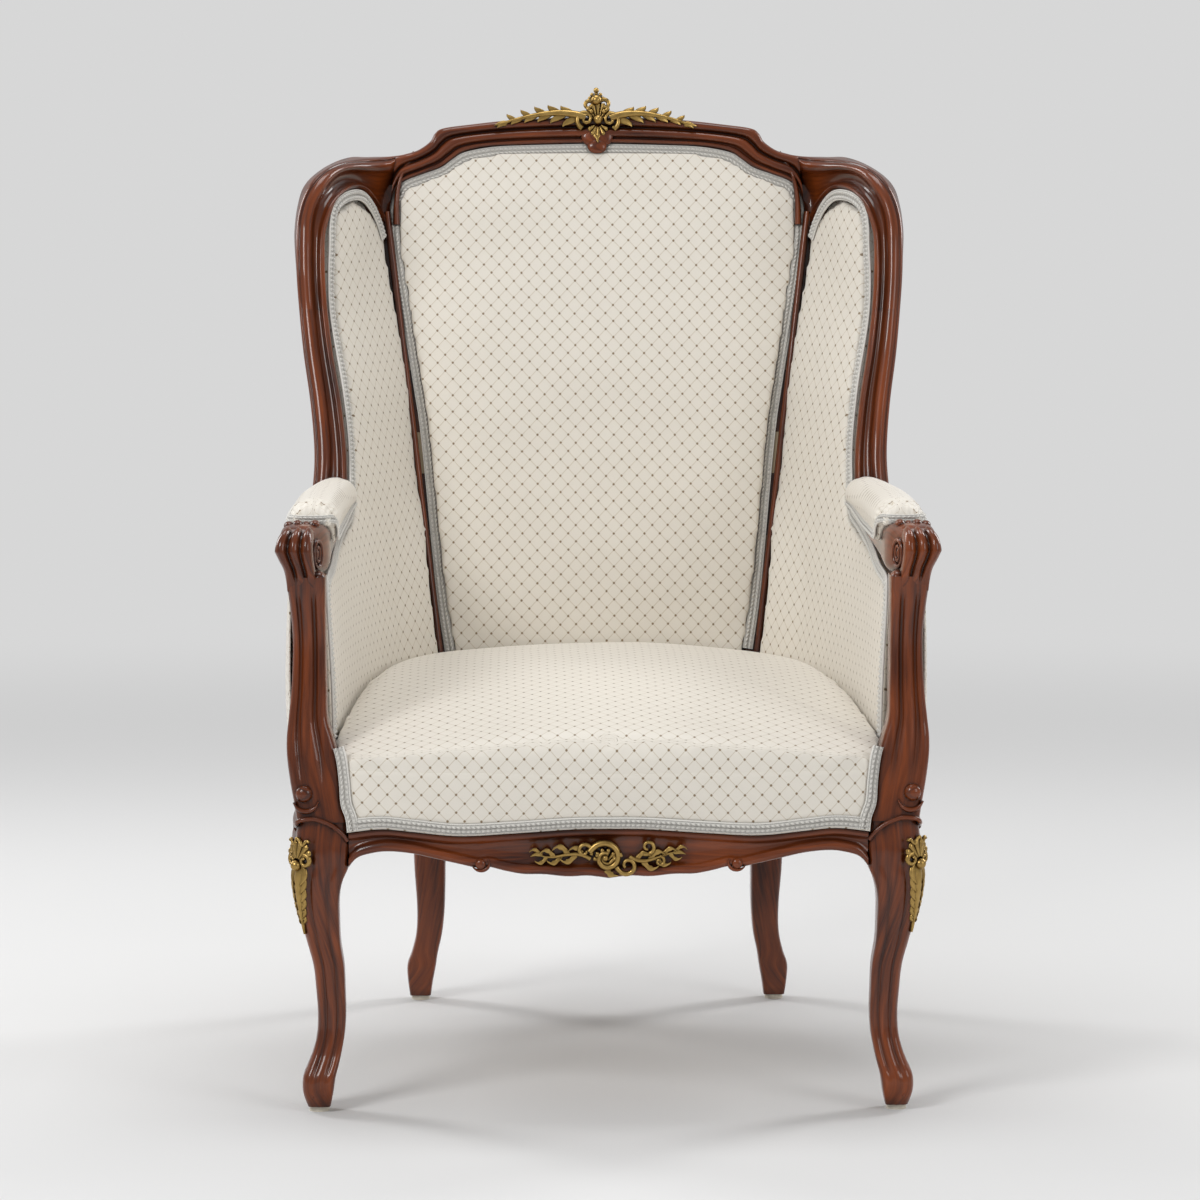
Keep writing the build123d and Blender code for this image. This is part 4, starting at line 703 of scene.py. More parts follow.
def volute():
    """Oval eye with its turned rim on the inner side of the knuckle."""
    middle = Vector((ARM_X - 41.5, KNEE_Y + 33, ARM_JOINT + 23))
    along, face = Vector((-0.36, 0.93, 0)), Vector((-0.93, -0.36, 0))
    out = []
    for ra, rz, r, push in ((11.0, 14.5, 2.4, 0.6), (4.6, 8.0, 1.9, 0.8)):
        path = []
        for a in [2 * pi * k / 40 for k in range(40)]:
            path.append(middle + along * (ra * cos(a)) + Vector((0, 0, rz * sin(a))) + face * push)
        out.append(pipe("eye", path, lambda t, r=r: (r, r), WOOD, closed=True))
    out.append(blob("eye_middle", tuple(middle), (2.2, 3.2, 5.0), WOOD))
    return join("volute", out)


def frames(path, closed=False, up=None):
    """Steady frames along a path: (point, tangent, side, normal)."""
    pts = [Vector(p) for p in path]
    n = len(pts)
    out = []
    normal = None
    for i, p in enumerate(pts):
        if closed:
            tangent = (pts[(i + 1) % n] - pts[i - 1]).normalized()
        else:
            tangent = (pts[min(i + 1, n - 1)] - pts[max(i - 1, 0)]).normalized()
        if up is not None:
            base = Vector(up)
            normal = (base - tangent * base.dot(tangent)).normalized()
        elif normal is None:
            base = Vector((0, 0, 1)) if abs(tangent.z) < 0.9 else Vector((1, 0, 0))
            normal = (base - tangent * base.dot(tangent)).normalized()
        else:
            normal = (normal - tangent * normal.dot(tangent)).normalized()
        out.append((p, tangent, tangent.cross(normal), normal))
    return out


def pipe(name, path, size, material, closed=False, up=None, sides=12):
    """Tube with a width and a height that may change along it."""
    fr = frames(path, closed, up)
    last = max(1, len(fr) - 1)
    rings = []
    for i, (p, t, side, normal) in enumerate(fr):
        w, h = size(i / last)
        turns = [2 * pi * k / sides for k in range(sides)]
        rings.append([p + side * (w * cos(a)) + normal * (h * sin(a)) for a in turns])
    return skin(name, rings, material, closed)


def blob(name, centre, radii, material, rot=None):
    """Ellipsoid round a centre, turned by a matrix."""
    n, m = 16, 10
    rings = []
    for i in range(1, m):
        a = pi * i / m
        ring = []
        for k in range(n):
            b = 2 * pi * k / n
            v = Vector((sin(a) * cos(b) * radii[0], sin(a) * sin(b) * radii[1], cos(a) * radii[2]))
            if rot is not None:
                v = rot @ v
            ring.append(Vector(centre) + v)
        rings.append(ring)
    return skin(name, rings, material)


# --- seat rails, back posts and the small carved pieces ---
# (height, x from foot to seat, width, y from seat to foot, depth) of the back leg
BACK_LEG_SHARES = [
    (0.0135, 0.0, 0.72, 1.0, 0.70), (0.05, 0.0, 0.84, 0.97, 0.82), (0.10, 0.06, 0.98, 0.90, 0.92),
    (0.14, 0.22, 0.90, 0.82, 0.86), (0.20, 0.44, 0.89, 0.68, 0.84), (0.28, 0.53, 0.95, 0.49, 0.88),
    (0.405, 0.50, 1.07, 0.27, 0.98), (0.56, 0.50, 1.10, 0.08, 1.05), (0.72, 0.62, 1.08, -0.03, 1.08),
    (0.86, 0.82, 1.02, -0.04, 1.02), (1.0, 1.0, 1.0, 0.0, 1.0),
]
# The stile's top, drawn in behind the crest: x, z, width and depth
POST_HEAD = [(251.5, 983, 35, 35), (247.5, 992, 31, 30), (243, 1001, 26, 25)]


def back_post():
    """Raked back leg and stile in one, with the bead that borders the inside back."""
    foot = stile_x(SEAT_LINE)
    rows = []
    for h, a, b, c, d in BACK_LEG_SHARES:
        rows.append((lerp(FOOT_X, foot, a), lerp(BACK_Y + STILE_D / 2, BACK_FOOT_Y, c), SEAT_LINE * h,
                     STILE_W * b, STILE_D * d))
    rows = dense(rows, 8)
    for k in range(1, 25):
        z = lerp(SEAT_LINE, 975, k / 24)
        rows.append((stile_x(z), back_y(z) + 0.6 + STILE_D / 2, z, STILE_W, STILE_D))
    for x, z, w, d in POST_HEAD:
        rows.append((x, back_y(z) + 0.6 + d / 2, z, w, d))
    rings = []
    for x, y, z, w, d in rows:
        rings.append([(x + a * w / 2, y + b * d / 2, z) for a, b in squared_circle(40, 0.36)])
    post = skin("post", rings, WOOD)
    bead = []
    for k in range(60):
        z = lerp(RAIL_TOP + 30, 968, k / 59)
        bead.append((stile_x(z), back_y(z) - PROUD * 0.35, z))
    strip = pipe("bead", bead, lambda t: (STILE_BEAD / 2 + 0.6, PROUD * 0.85), WOOD, up=(0, -1, 0), sides=16)
    return join("back_post", [post, strip])


# x, z, half width and half height of the ridge
SPINE = [(243.5, 952, 4.4, 6.5), (243.5, 975, 3.8, 7.0), (241, 998, 3.0, 7.0), (235.5, 1016, 3.0, 6.5),
         (228, 1029, 4.5, 5.5), (219, 1038, 6.5, 4.0)]


def spine():
    """Ridge that runs from the stile up through the spandrel and flares at the crest."""
    path, sizes = [], []
    for x, z, w, h in dense(SPINE, 8):
        path.append(on_back(x, up_back(z), lerp(4.0, -4.5, smooth(1008, 1038, z))))
        sizes.append((w, h))
    last = len(sizes) - 1
    return pipe("spine", path, lambda t: sizes[round(t * last)], WOOD, up=tuple(BACK_NORMAL), sides=14)


SIDE_PLAN_SHARES = [(1.0, -0.10), (1.018, 0.16), (0.985, 0.42), (0.88, 0.70), (0.74, 0.90), (0.64, 1.06)]
SIDE_DROP_SHARES = [(-0.1, 0.60), (0.08, 0.62), (0.22, 0.50), (0.38, 0.62), (0.52, 0.70), (0.68, 0.60),
                    (0.84, 0.52), (1.06, 0.56)]
APRON_SHARES = [
    (0.0, 1.0), (0.08, 0.95), (0.16, 0.965), (0.25, 0.92), (0.33, 0.915), (0.40, 0.85),
    (0.46, 0.775), (0.50, 0.80), (0.56, 0.735), (0.66, 0.62), (0.76, 0.51), (0.86, 0.475),
    (0.94, 0.55), (0.975, 0.64), (1.0, 0.80),
]
APRON_TOP_SHARES = [(0.0, -0.05), (0.14, -0.04), (0.36, 0.04), (0.57, 0.10), (0.75, 0.02), (0.87, -0.03),
                    (1.0, 0.05)]
BOW_SHARES = [(0.0, 0.0), (0.3, 0.10), (0.62, 0.42), (1.0, 1.0)]
RAIL_X = KNEE_X - KNEE_W


def table_at(rows, x):
    """Value of a dense table of (x, value) at a place."""
    if x <= rows[0][0]:
        return rows[0][1]
    for a, b in zip(rows, rows[1:]):
        if a[0] <= x <= b[0]:
            return lerp(a[1], b[1], (x - a[0]) / max(1e-9, b[0] - a[0]))
    return rows[-1][1]


APRON_LOW = dense([(a, BAND_TOP - APRON_DROP * b) for a, b in APRON_SHARES], 6)
APRON_HIGH = dense([(a, BAND_TOP - APRON_DROP * b) for a, b in APRON_TOP_SHARES], 6)
BOW = dense([(a, lerp(APRON_Y, KNEE_Y, b)) for a, b in BOW_SHARES], 8)


def apron_low(x):
    return table_at(APRON_LOW, abs(x) / RAIL_X)


def apron_high(x):
    return table_at(APRON_HIGH, abs(x) / RAIL_X)


def bow_y(x):
    return table_at(BOW, min(1.0, abs(x) / (RAIL_X + 8)))


def rail_section(low, high, y_front, thick):
    """Front outline of a rail between its lower edge and the band's top: distance back and height."""
    pts = [(12, high + 1), (5.5, high), (2.4, high - 0.8), (0.6, high - 2.6), (-0.2, high - 5.0),
           (0.3, high - 7.8), (2.0, high - 9.6), (3.6, high - 11.0)]
    for s in (0.12, 0.3, 0.5, 0.7, 0.88):
        z = lerp(high - 11.0, low + 12.5, s)
        pts.append((4.0 + 1.4 * sin(pi * s), z))
    pts += [(3.4, low + 11.8), (1.0, low + 10.6), (-0.6, low + 8.6), (-1.5, low + 6.0), (-1.3, low + 3.4),
            (0.2, low + 1.2), (3.0, low + 0.1), (8.0, low), (thick * 0.6, low), (thick, low + 1),
            (thick, high - 4), (thick, high)]
    return [(y_front + a, z) for a, z in pts]


def apron():
    """Front rail with a round nub in its crescent on each side of the middle."""
    nub_x = 139
    rings = []
    n = 220
    for i in range(n + 1):
        x = lerp(-RAIL_X, RAIL_X, i / n)
        rings.append([(x, y, z) for y, z in rail_section(apron_low(x), apron_high(x), bow_y(x), 32)])
    board = skin("apron", rings, WOOD)
    nubs = []
    for side in (-1, 1):
        x, z = side * nub_x, apron_low(nub_x) + 5
        nubs.append(blob("nub", (x, bow_y(x) - 1.0, z), (6.0, 4.2, 6.0), WOOD))
        arc = []
        for k in range(17):
            a = radians(lerp(-150, 30, k / 16)) if side < 0 else radians(lerp(-30, -210, k / 16))
            arc.append((x + 9.5 * cos(a), bow_y(x) - 1.2, z + 1 + 8.0 * sin(a)))
        nubs.append(pipe("crescent", arc, lambda t: (1.7 * sin(pi * max(0.06, min(0.94, t))) + 0.5, 2.4), WOOD,
                         up=(0, -1, 0), sides=10))
    return join("seat_rail_front", [board, *nubs])


def side_run(share):
    """y at a share of the side rail's run."""
    return lerp(KNEE_Y + KNEE_D, BACK_Y, share)


def side_rail():
    """Right-hand rail, bowed in plan and with a wavy lower edge."""
    plan = even([(KNEE_X * a, side_run(b), 0) for a, b in dense(SIDE_PLAN_SHARES, 10)], 5)
    drops = dense([(side_run(a), BAND_TOP - APRON_DROP * b) for a, b in SIDE_DROP_SHARES], 8)
    rings = []
    for p, t, side, normal in frames(plan, up=(0, 0, 1)):
        if p.y < KNEE_Y + KNEE_D * 0.7:
            continue
        out = Vector((t.y, -t.x, 0)).normalized()
        low = table_at(drops, p.y)
        ring = []
        for a, z in rail_section(low, BAND_TOP, 0, 32):
            q = p - out * a
            ring.append((q.x, q.y, z))
        rings.append(ring)
    rings = [r for r in rings if r[0][1] < BACK_Y + 4]
    return skin("seat_rail", rings, WOOD)


def stump_foot():
    """Round nub with its crescent where the stump grows out of the knee."""
    x, y, z = 330.0, KNEE_Y - 1.0, 353.0
    out = [blob("nub", (x, y + 5, z), (9.5, 8.0, 9.5), WOOD)]
    turns = [radians(lerp(-165, -20, k / 20)) for k in range(21)]
    arc = [(x - 2 + 14 * cos(a), y + 3.0, z - 4 + 15 * sin(a)) for a in turns]
    out.append(pipe("crescent", arc, lambda t: (2.6 * sin(pi * max(0.08, min(0.92, t))) + 0.6, 3.6), WOOD,
                    up=(0, -1, 0), sides=10))
    arch = [(339, KNEE_Y + 22, 316), (338, KNEE_Y + 6, 321), (333, KNEE_Y, 325), (318, KNEE_Y - 1, 326),
            (302, KNEE_Y, 320), (290, KNEE_Y + 1, 311), (283, KNEE_Y + 3, 302)]
    out.append(pipe("arch", dense(arch, 8), lambda t: (2.7, 3.4), WOOD, up=(0.2, -1, 0), sides=10))
    return join("stump_foot", out)


def toe():
    """Small scroll on the front of the foot."""
    x = KNEE_X * 0.97 - 17
    y = KNEE_Y + KNEE_X * 0.03 + 2
    arc = []
    for k in range(26):
        a = lerp(-0.6, 5.2, k / 25)
        r = lerp(9.5, 2.0, k / 25)
        arc.append((x + r * cos(a), y - 1.5, 22 + r * sin(a)))
    return pipe("toe", arc, lambda t: (lerp(2.4, 1.0, t), 3.2), WOOD, up=(0.5, -1, 0), sides=10)


# --- upholstery ---
# Plan curves of the inside wall: height, then (half width, run from the knee to the back) as shares
SEAT_WALL = [(0.851, -0.05), (0.818, 0.17), (0.768, 0.45), (0.712, 0.66), (0.637, 0.82), (0.548, 0.92),
             (0.495, 0.99)]
WALL_SHARES = [
    (RAIL_TOP, SEAT_WALL), (SEAT_LINE, SEAT_WALL),
    (542.0, [(0.860, -0.05), (0.842, 0.17), (0.808, 0.45), (0.756, 0.66), (0.680, 0.83), (0.578, 0.95),
             (0.525, 1.03)]),
    (ARM_TOP, [(0.874, -0.05), (0.878, 0.17), (0.868, 0.45), (0.824, 0.66), (0.716, 0.85), (0.609, 1.03),
               (0.568, 1.10)]),
    (762.1, [(0.965, 0.13), (0.942, 0.33), (0.912, 0.52), (0.853, 0.757), (0.775, 0.863), (0.698, 0.977),
             (0.628, 1.09)]),
    (WING_JOINT, [(1.035, 0.225), (1.007, 0.42), (0.963, 0.63), (0.894, 0.832), (0.816, 0.925), (0.746, 1.016),
                  (0.668, 1.127)]),
    (943.5, [(1.057, 0.264), (1.03, 0.46), (0.979, 0.67), (0.904, 0.86), (0.838, 0.95), (0.78, 1.041),
             (0.705, 1.16)]),
    (1020.0, [(1.063, 0.283), (1.035, 0.48), (0.985, 0.69), (0.908, 0.874), (0.842, 0.968), (0.784, 1.06),
              (0.708, 1.18)]),
]


def plan_curves(table, half_width, run_of, between, along):
    """Close rows (z, [(x, y)]) from rows (z, [(share of the half width, share of the run)])."""
    flat = []
    for z, shares in table:
        row = [z]
        for a, b in shares:
            row += [half_width * a, run_of(b)]
        flat.append(row)
    return [(r[0], dense(list(zip(r[1::2], r[2::2])), along)) for r in dense(flat, between)]


def wall_run(share):
    """y at a share of the inside wall's run."""
    return lerp(KNEE_Y + KNEE_D, BACK_Y + PROUD, share)


def wall_rows():
    """Plan curves of the inside wall at close heights: (z, [(y, x, length so far)])."""
    rows = []
    for z, pts in plan_curves(WALL_SHARES, WING_X, wall_run, 8, 6):
        length, run = 0.0, []
        for i, (x, y) in enumerate(pts):
            if i:
                length += hypot(x - pts[i - 1][0], y - pts[i - 1][1])
            run.append((y, x, length))
        rows.append((z, run))
    return rows


WALL = wall_rows()


def wall_at(y, z):
    """x of the inside wall's face and the length along its plan curve."""
    rows = WALL
    z = min(max(z, rows[0][0]), rows[-1][0])
    k = 0
    while k < len(rows) - 2 and rows[k + 1][0] < z:
        k += 1
    t = (z - rows[k][0]) / (rows[k + 1][0] - rows[k][0])
    found = []
    for row in (rows[k][1], rows[k + 1][1]):
        i = 0
        while i < len(row) - 2 and row[i + 1][0] < y:
            i += 1
        a, b = row[i], row[i + 1]
        s = (y - a[0]) / max(1e-9, b[0] - a[0])
        s = min(2.0, max(-2.0, s))
        found.append((lerp(a[1], b[1], s), lerp(a[2], b[2], s) - row[-1][2]))
    return lerp(found[0][0], found[1][0], t), lerp(found[0][1], found[1][1], t)


def wall_face(y, z, out=0.0):
    """Point on the inside wall, moved out into the seat's room, and the wall's normal."""
    x = wall_at(y, z)[0]
    fy = (wall_at(y + 3, z)[0] - wall_at(y - 3, z)[0]) / 6
    fz = (wall_at(y, z + 3)[0] - wall_at(y, z - 3)[0]) / 6
    n = Vector((-1, fy, fz)).normalized()
    return Vector((x, y, z)) + n * out, n


def wall_outline():
    """Edge of the arm and wing upholstery as (y, z), from the seat up and round to the back."""
    arm, rise, top = ARM_TOP - ARM_JOINT, WING_JOINT - ARM_TOP, CREST_TOP - WING_JOINT
    pts = [
        (0.012, lerp(RAIL_TOP, SEAT_LINE, 0.4)), (0.010, SEAT_LINE), (0.012, ARM_JOINT - arm * 1.2),
        (0.026, ARM_JOINT - arm * 0.30), (0.07, ARM_JOINT - arm * 0.10), (0.20, ARM_JOINT),
        (0.37, ARM_JOINT + arm * 0.27), (0.56, ARM_JOINT + arm * 0.58), (0.655, ARM_JOINT + arm * 0.85),
        (0.70, ARM_TOP + rise * 0.12), (0.737, ARM_TOP + rise * 0.30), (0.774, ARM_TOP + rise * 0.56),
        (0.835, WING_JOINT), (0.872, WING_JOINT + top * 0.30), (0.888, WING_JOINT + top * 0.46),
        (0.916, WING_JOINT + top * 0.56), (0.97, WING_JOINT + top * 0.61), (1.04, WING_JOINT + top * 0.61),
        (1.09, WING_JOINT + top * 0.55), (1.124, WING_JOINT + top * 0.45), (1.138, WING_JOINT + top * 0.35),
    ]
    return [(wall_run(a), z) for a, z in pts]


def drawn_in(points, inset):
    """Closed anticlockwise run of pairs, each drawn in along its corner's bisector."""
    out = []
    n = len(points)
    for i, (a, b) in enumerate(points):
        p, q = points[i - 1], points[(i + 1) % n]
        u, v = Vector((a - p[0], b - p[1])).normalized(), Vector((q[0] - a, q[1] - b)).normalized()
        m = (u + v).normalized()
        reach = inset / max(0.5, m.dot(u))
        out.append((a - m.y * reach, b + m.x * reach))
    return out


def side_path(inset):
    """Line on the inside wall, inset from its edge, from the seat up round the wing to the seat."""
    pts = dense(wall_outline(), 6)
    foot = (back_y(pts[0][1]), pts[0][1])
    return drawn_in([foot, *reversed(pts)], inset)[-2:0:-1]


BACK_SIDE_SHARES = [(0.733, 0.0), (0.777, 0.127), (0.842, 0.409), (0.885, 0.530), (0.985, 0.780),
                    (0.992, 0.850)]
BACK_TOP_SHARES = [
    (0.984, 0.884), (0.961, 0.909), (0.919, 0.926), (0.840, 0.939), (0.751, 0.952),
    (0.690, 0.970), (0.634, 0.983), (0.50, 0.9935), (0.327, 0.997), (0.0, 1.0),
]
INSIDE_TOP = lerp(WING_JOINT, CREST_TOP, 0.856)


def back_ring(inset):
    """Closed line on the inside back, inset from its edge: across and up along the back."""
    run = up_back(INSIDE_TOP)
    right = dense([(BACK_X * a, run * b) for a, b in BACK_SIDE_SHARES + BACK_TOP_SHARES], 5)
    foot = (right[0][0] - GIMP_W * 0.2, up_back(SEAT_LINE - GIMP_W * 1.5))
    right = [foot, *right]
    left = [(-x, y) for x, y in reversed(right[:-1])]
    return drawn_in(right + left, inset)


BRAID_STEP, PLAIT_RUN, CORD_RUN = 1.2, 5.4, 2.4
# Height over half the braid's width, then mirrored to the whole
BRAID_SHAPE = [(0.0, 0.7), (0.08, 1.0), (0.22, 2.5), (0.40, 3.0), (0.58, 2.5), (0.72, 1.1), (0.82, 1.9),
               (0.93, 1.7), (1.0, 0.4)]
BRAID_SHAPE = [(-u, h) for u, h in reversed(BRAID_SHAPE[1:])] + BRAID_SHAPE


def braid(name, path, normals, width=GIMP_W, lift=1.0):
    """Twin-row braid along a path: two ribs of slanting plaits with a cord at each edge."""
    pts = [Vector(p) for p in path]
    n = len(pts)
    rings = []
    along = 0.0
    for i in range(n):
        t = (pts[min(i + 1, n - 1)] - pts[max(i - 1, 0)]).normalized()
        if i:
            along += (pts[i] - pts[i - 1]).length
        m = (normals[i] - t * normals[i].dot(t)).normalized()
        side = t.cross(m)
        ring = []
        for u, h in BRAID_SHAPE:
            row = abs(u)
            if 0.15 < row < 0.65:
                h += 1.5 * sin(2 * pi * (along / PLAIT_RUN + row * 1.05)) * sin(pi * (row - 0.1) / 0.6)
            elif row > 0.75:
                h += 0.35 * sin(2 * pi * along / CORD_RUN)
            ring.append(pts[i] + side * (u * width / 2) + m * (h * lift))
        for u in (0.97, 0.0, -0.97):
            ring.append(pts[i] + side * (u * width / 2) - m * 0.8)
        rings.append(ring)
    return skin(name, rings, GIMP)


def side_gimp():
    """Braid round the arm and wing upholstery."""
    middle = even([(0, y, z) for y, z in side_path(GIMP_W * 0.5)], BRAID_STEP)
    faces = [wall_face(y, z, 1.2) for _, y, z in middle]
    return braid("side_gimp", [p for p, _ in faces], [n for _, n in faces])


def back_gimp():
    """Braid up the sides and over the top of the inside back."""
    path = even([on_back(x, s, 1.5) for x, s in back_ring(GIMP_W * 0.5)[1:]], BRAID_STEP)
    return braid("back_gimp", path, [BACK_NORMAL] * len(path))


def nodes_mesh(name, nodes):
    """A copy of some CAD solids as one mesh."""
    b = bmesh.new()
    for n in nodes:
        b.from_mesh(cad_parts[n].data)
    mesh = bpy.data.meshes.new(name)
    b.to_mesh(mesh)
    b.free()
    return shown(name, mesh)


def applied(o):
    """Turns the object's modifiers into its mesh."""
    bpy.context.view_layer.update()
    mesh = bpy.data.meshes.new_from_object(o.evaluated_get(bpy.context.evaluated_depsgraph_get()))
    o.modifiers.clear()
    o.data = mesh
    return o


def finer(o):
    """Rounds the mesh by one subdivision."""
    sub = o.modifiers.new("fine", "SUBSURF")
    sub.levels = sub.render_levels = 1
    return applied(o)


def own(v):
    """A mesh point in the chair's own millimetres."""
    return v.co.x / MM, v.co.y / MM - SHIFT, v.co.z / MM


def lay_pattern(mesh, uv_of):
    """UVs in metres from each point's own place and normal, which uv_of turns into millimetres."""
    layer = mesh.uv_layers["UVMap"]
    laid = [uv_of(*own(v), v.normal) for v in mesh.vertices]
    for loop in mesh.loops:
        u, w = laid[loop.vertex_index]
        layer.data[loop.index].uv = (u * MM, w * MM)


CLOTH_FRAMES = 20


def inflate(o, pressure, limit):
    """Eases the mesh as cloth under pressure; no point moves further than the limit."""
    before = [v.co.copy() for v in o.data.vertices]
    c = o.modifiers.new("cloth", "CLOTH")
    s = c.settings
    s.quality = 4
    s.mass = 0.3
    s.tension_stiffness = s.compression_stiffness = 12
    s.shear_stiffness = 6
    s.bending_stiffness = 0.8
    s.use_pressure = True
    s.uniform_pressure_force = pressure
    s.vertex_group_mass = "held"
    s.effector_weights.gravity = 0
    c.collision_settings.use_collision = False
    c.point_cache.frame_start, c.point_cache.frame_end = 1, CLOTH_FRAMES
    scene = bpy.context.scene
    for f in range(1, CLOTH_FRAMES + 1):
        scene.frame_set(f)
    applied(o)
    scene.frame_set(1)
    for v, b in zip(o.data.vertices, before):
        d = v.co - b
        if d.length > limit * MM:
            v.co = b + d.normalized() * limit * MM


def soften(name, nodes, held, limit, uv_of, relief, reach):
    """Stuffed pad from CAD solids: blown up a little as cloth, held where it is tacked.

    held gives how firmly a point is held, limit how far one may move, uv_of its place on the cloth,
    relief how far it stands out and reach where the pad's edges go.
    """
    o = nodes_mesh(name, nodes)
    r = o.modifiers.new("even", "REMESH")
    r.mode = "VOXEL"
    r.voxel_size = 5 * MM
    applied(o)
    ease = o.modifiers.new("ease", "SMOOTH")
    ease.factor = 0.5
    ease.iterations = 4
    applied(o)
    group = o.vertex_groups.new(name="held")
    for v in o.data.vertices:
        w = held(*own(v), v.normal)
        if w > 0:
            group.add([v.index], w, "REPLACE")
    inflate(o, 4.0, limit)
    mesh = o.data
    for v in mesh.vertices:
        x, y, z = reach(*own(v))
        v.co = Vector((x, y + SHIFT, z)) * MM
    mesh.update()
    moves = [v.normal * relief(*own(v), v.normal) * MM for v in mesh.vertices]
    for v, d in zip(mesh.vertices, moves):
        v.co += d
    mesh.update()
    mesh.polygons.foreach_set("use_smooth", [True] * len(mesh.polygons))
    for layer in list(mesh.uv_layers):
        mesh.uv_layers.remove(layer)
    mesh.uv_layers.new(name="UVMap")
    lay_pattern(mesh, uv_of)
    mesh.materials.clear()
    mesh.materials.append(BROCADE)
    return finer(o)


def inside_of(ring, x, y):
    """How far a pair lies inside a closed run of pairs; negative outside."""
    best, inside = 1e9, False
    n = len(ring)
    for i in range(n):
        (ax, ay), (bx, by) = ring[i], ring[(i + 1) % n]
        if (ay > y) != (by > y) and x < (bx - ax) * (y - ay) / (by - ay) + ax:
            inside = not inside
        dx, dy = bx - ax, by - ay
        t = max(0.0, min(1.0, ((x - ax) * dx + (y - ay) * dy) / max(1e-9, dx * dx + dy * dy)))
        best = min(best, hypot(x - ax - t * dx, y - ay - t * dy))
    return best if inside else -best


def ripple(x, y, z, scale, amount):
    """Soft unevenness of a given scale and height."""
    return amount * noise.noise(Vector((x, y, z)) / scale)


def back_pad():
    """Inside back, tacked all round behind its braid."""
    ring = back_ring(GIMP_W)[::3]
    middle = 300

    def local(x, y, z):
        d = Vector((x, y - BACK_Y, z - SEAT_LINE))
        return d.dot(BACK_UP), d.dot(BACK_NORMAL)

    def held(x, y, z, n):
        s, out = local(x, y, z)
        if out < 3:
            return 1.0
        return 1.0 - smooth(3, 16, inside_of(ring, x, s))

    def relief(x, y, z, n):
        s, out = local(x, y, z)
        if n.dot(BACK_NORMAL) < 0.5:
            return 0.0
        return ripple(x, s, 5, 85, 1.6) * smooth(6, 60, inside_of(ring, x, s))

    def reach(x, y, z):
        s, out = local(x, y, z)
        return tuple(on_back(x * 1.014, middle + (s - middle) * 1.012, out))

    return soften("back_pad", ["back_stuffing", "back_cover"], held, 6,
                  lambda x, y, z, n: (x, local(x, y, z)[0]), relief, reach)


def side_pad():
    """Padding of the right arm and wing in one piece."""
    ring = side_path(GIMP_W)[::3]
    middle_y, middle_z = 20, 690
    rear_y, rear_z, rear_rake = 223.7, 384.6, 0.1626  # the solid's rear edge, drawn on to the stile

    def held(x, y, z, n):
        if n.x > -0.1 and x > wall_at(y, z)[0] + 6:
            return 1.0
        return 1.0 - smooth(2, 16, inside_of(ring, y, z))

    def relief(x, y, z, n):
        return ripple(x, y, z, 75, 1.5) * smooth(4, 50, inside_of(ring, y, z)) if n.x < 0 else 0.0

    def reach(x, y, z):
        grow = 3.2 * (1 - smooth(0, 26, inside_of(ring, y, z)))
        along = Vector((y - middle_y, (z - middle_z) * 0.8)).normalized() * grow
        to_rear = rear_y + rear_rake * (z - rear_z) - y
        back = 13.0 * (1 - smooth(12, 60, to_rear)) * (1 - smooth(935, 985, z))
        new_y, new_z = y + along.x + back, z + along.y
        return x + wall_at(new_y, new_z)[0] - wall_at(y, z)[0], new_y, new_z

    return soften("side_pad", ["side_stuffing_right", "side_cover_right"], held, 5,
                  lambda x, y, z, n: (wall_at(y, z)[1], z), relief, reach)


SEAT_FRONT_SHARES = [(0.0, 0.0), (0.3, 0.03), (0.6, 0.16), (0.86, 0.47), (1.0, 1.0)]
SEAT_FRONT = dense([(WING_X * 0.851 * a, lerp(SEAT_Y, KNEE_Y + PROUD, b)) for a, b in SEAT_FRONT_SHARES], 8)
ROLL_LOW = 434.0  # the cloth's pattern turns down over the front here
SKIRT_TOP = 378.0  # below this the seat's face is drawn in to the rail


def seat_front(x):
    return table_at(SEAT_FRONT, abs(x))


def front_creases(x, z):
    """Slanting pulls in the cloth towards the seat's front corners."""
    return sin((abs(x) * 0.62 - z * 0.78) / 6.5)


def seat_pad():
    """Sprung seat, tacked to the rails and pressed by the walls round it."""
    underside, rear, wall, nose = 352, 205, 300, -270

    def held(x, y, z, n):
        if z < underside and n.z < 0.3:
            return 1.0
        w = 0.7 if y > rear or abs(x) > wall else 0.0
        if y < nose:
            w = max(w, 0.95 * smooth(250, 285, abs(x)))
        tacks = apron_high(min(abs(x), RAIL_X)) + 14
        return max(w, 1.0 - smooth(tacks, tacks + 14, z))

    def uv_of(x, y, z, n):
        if z < ROLL_LOW and y < -250 and n.z < 0.72:
            return x, z - ROLL_LOW
        return x, max(0.0, y - seat_front(x)) * 1.08

    def reach(x, y, z):
        if y < -290:
            y += 7 * (1 - smooth(SKIRT_TOP - 34, SKIRT_TOP - 2, z))
        return x, y, z

    def relief(x, y, z, n):
        r = ripple(x, y, z, 110, 2.2) * smooth(0, 0.5, abs(n.z) + abs(n.y))
        if n.y < -0.4 and z < 425:
            corner = smooth(150, 290, abs(x))
            r += corner * 1.3 * front_creases(x, z) * smooth(335, 370, z) * (1 - smooth(395, 425, z))
            r += ripple(x * 0.5, y, z * 2.2, 26, 0.7)
        return r

    return soften("seat_pad", ["seat_stuffing", "seat_cover"], held, 6, uv_of, relief, reach)


# Where the seat's face meets the stump, (height, distance from the middle)
SEAT_EDGE = dense([(300, 283), (326, 285), (343, 290.5), (365, 292), (391, 295), (410, 300)], 6)


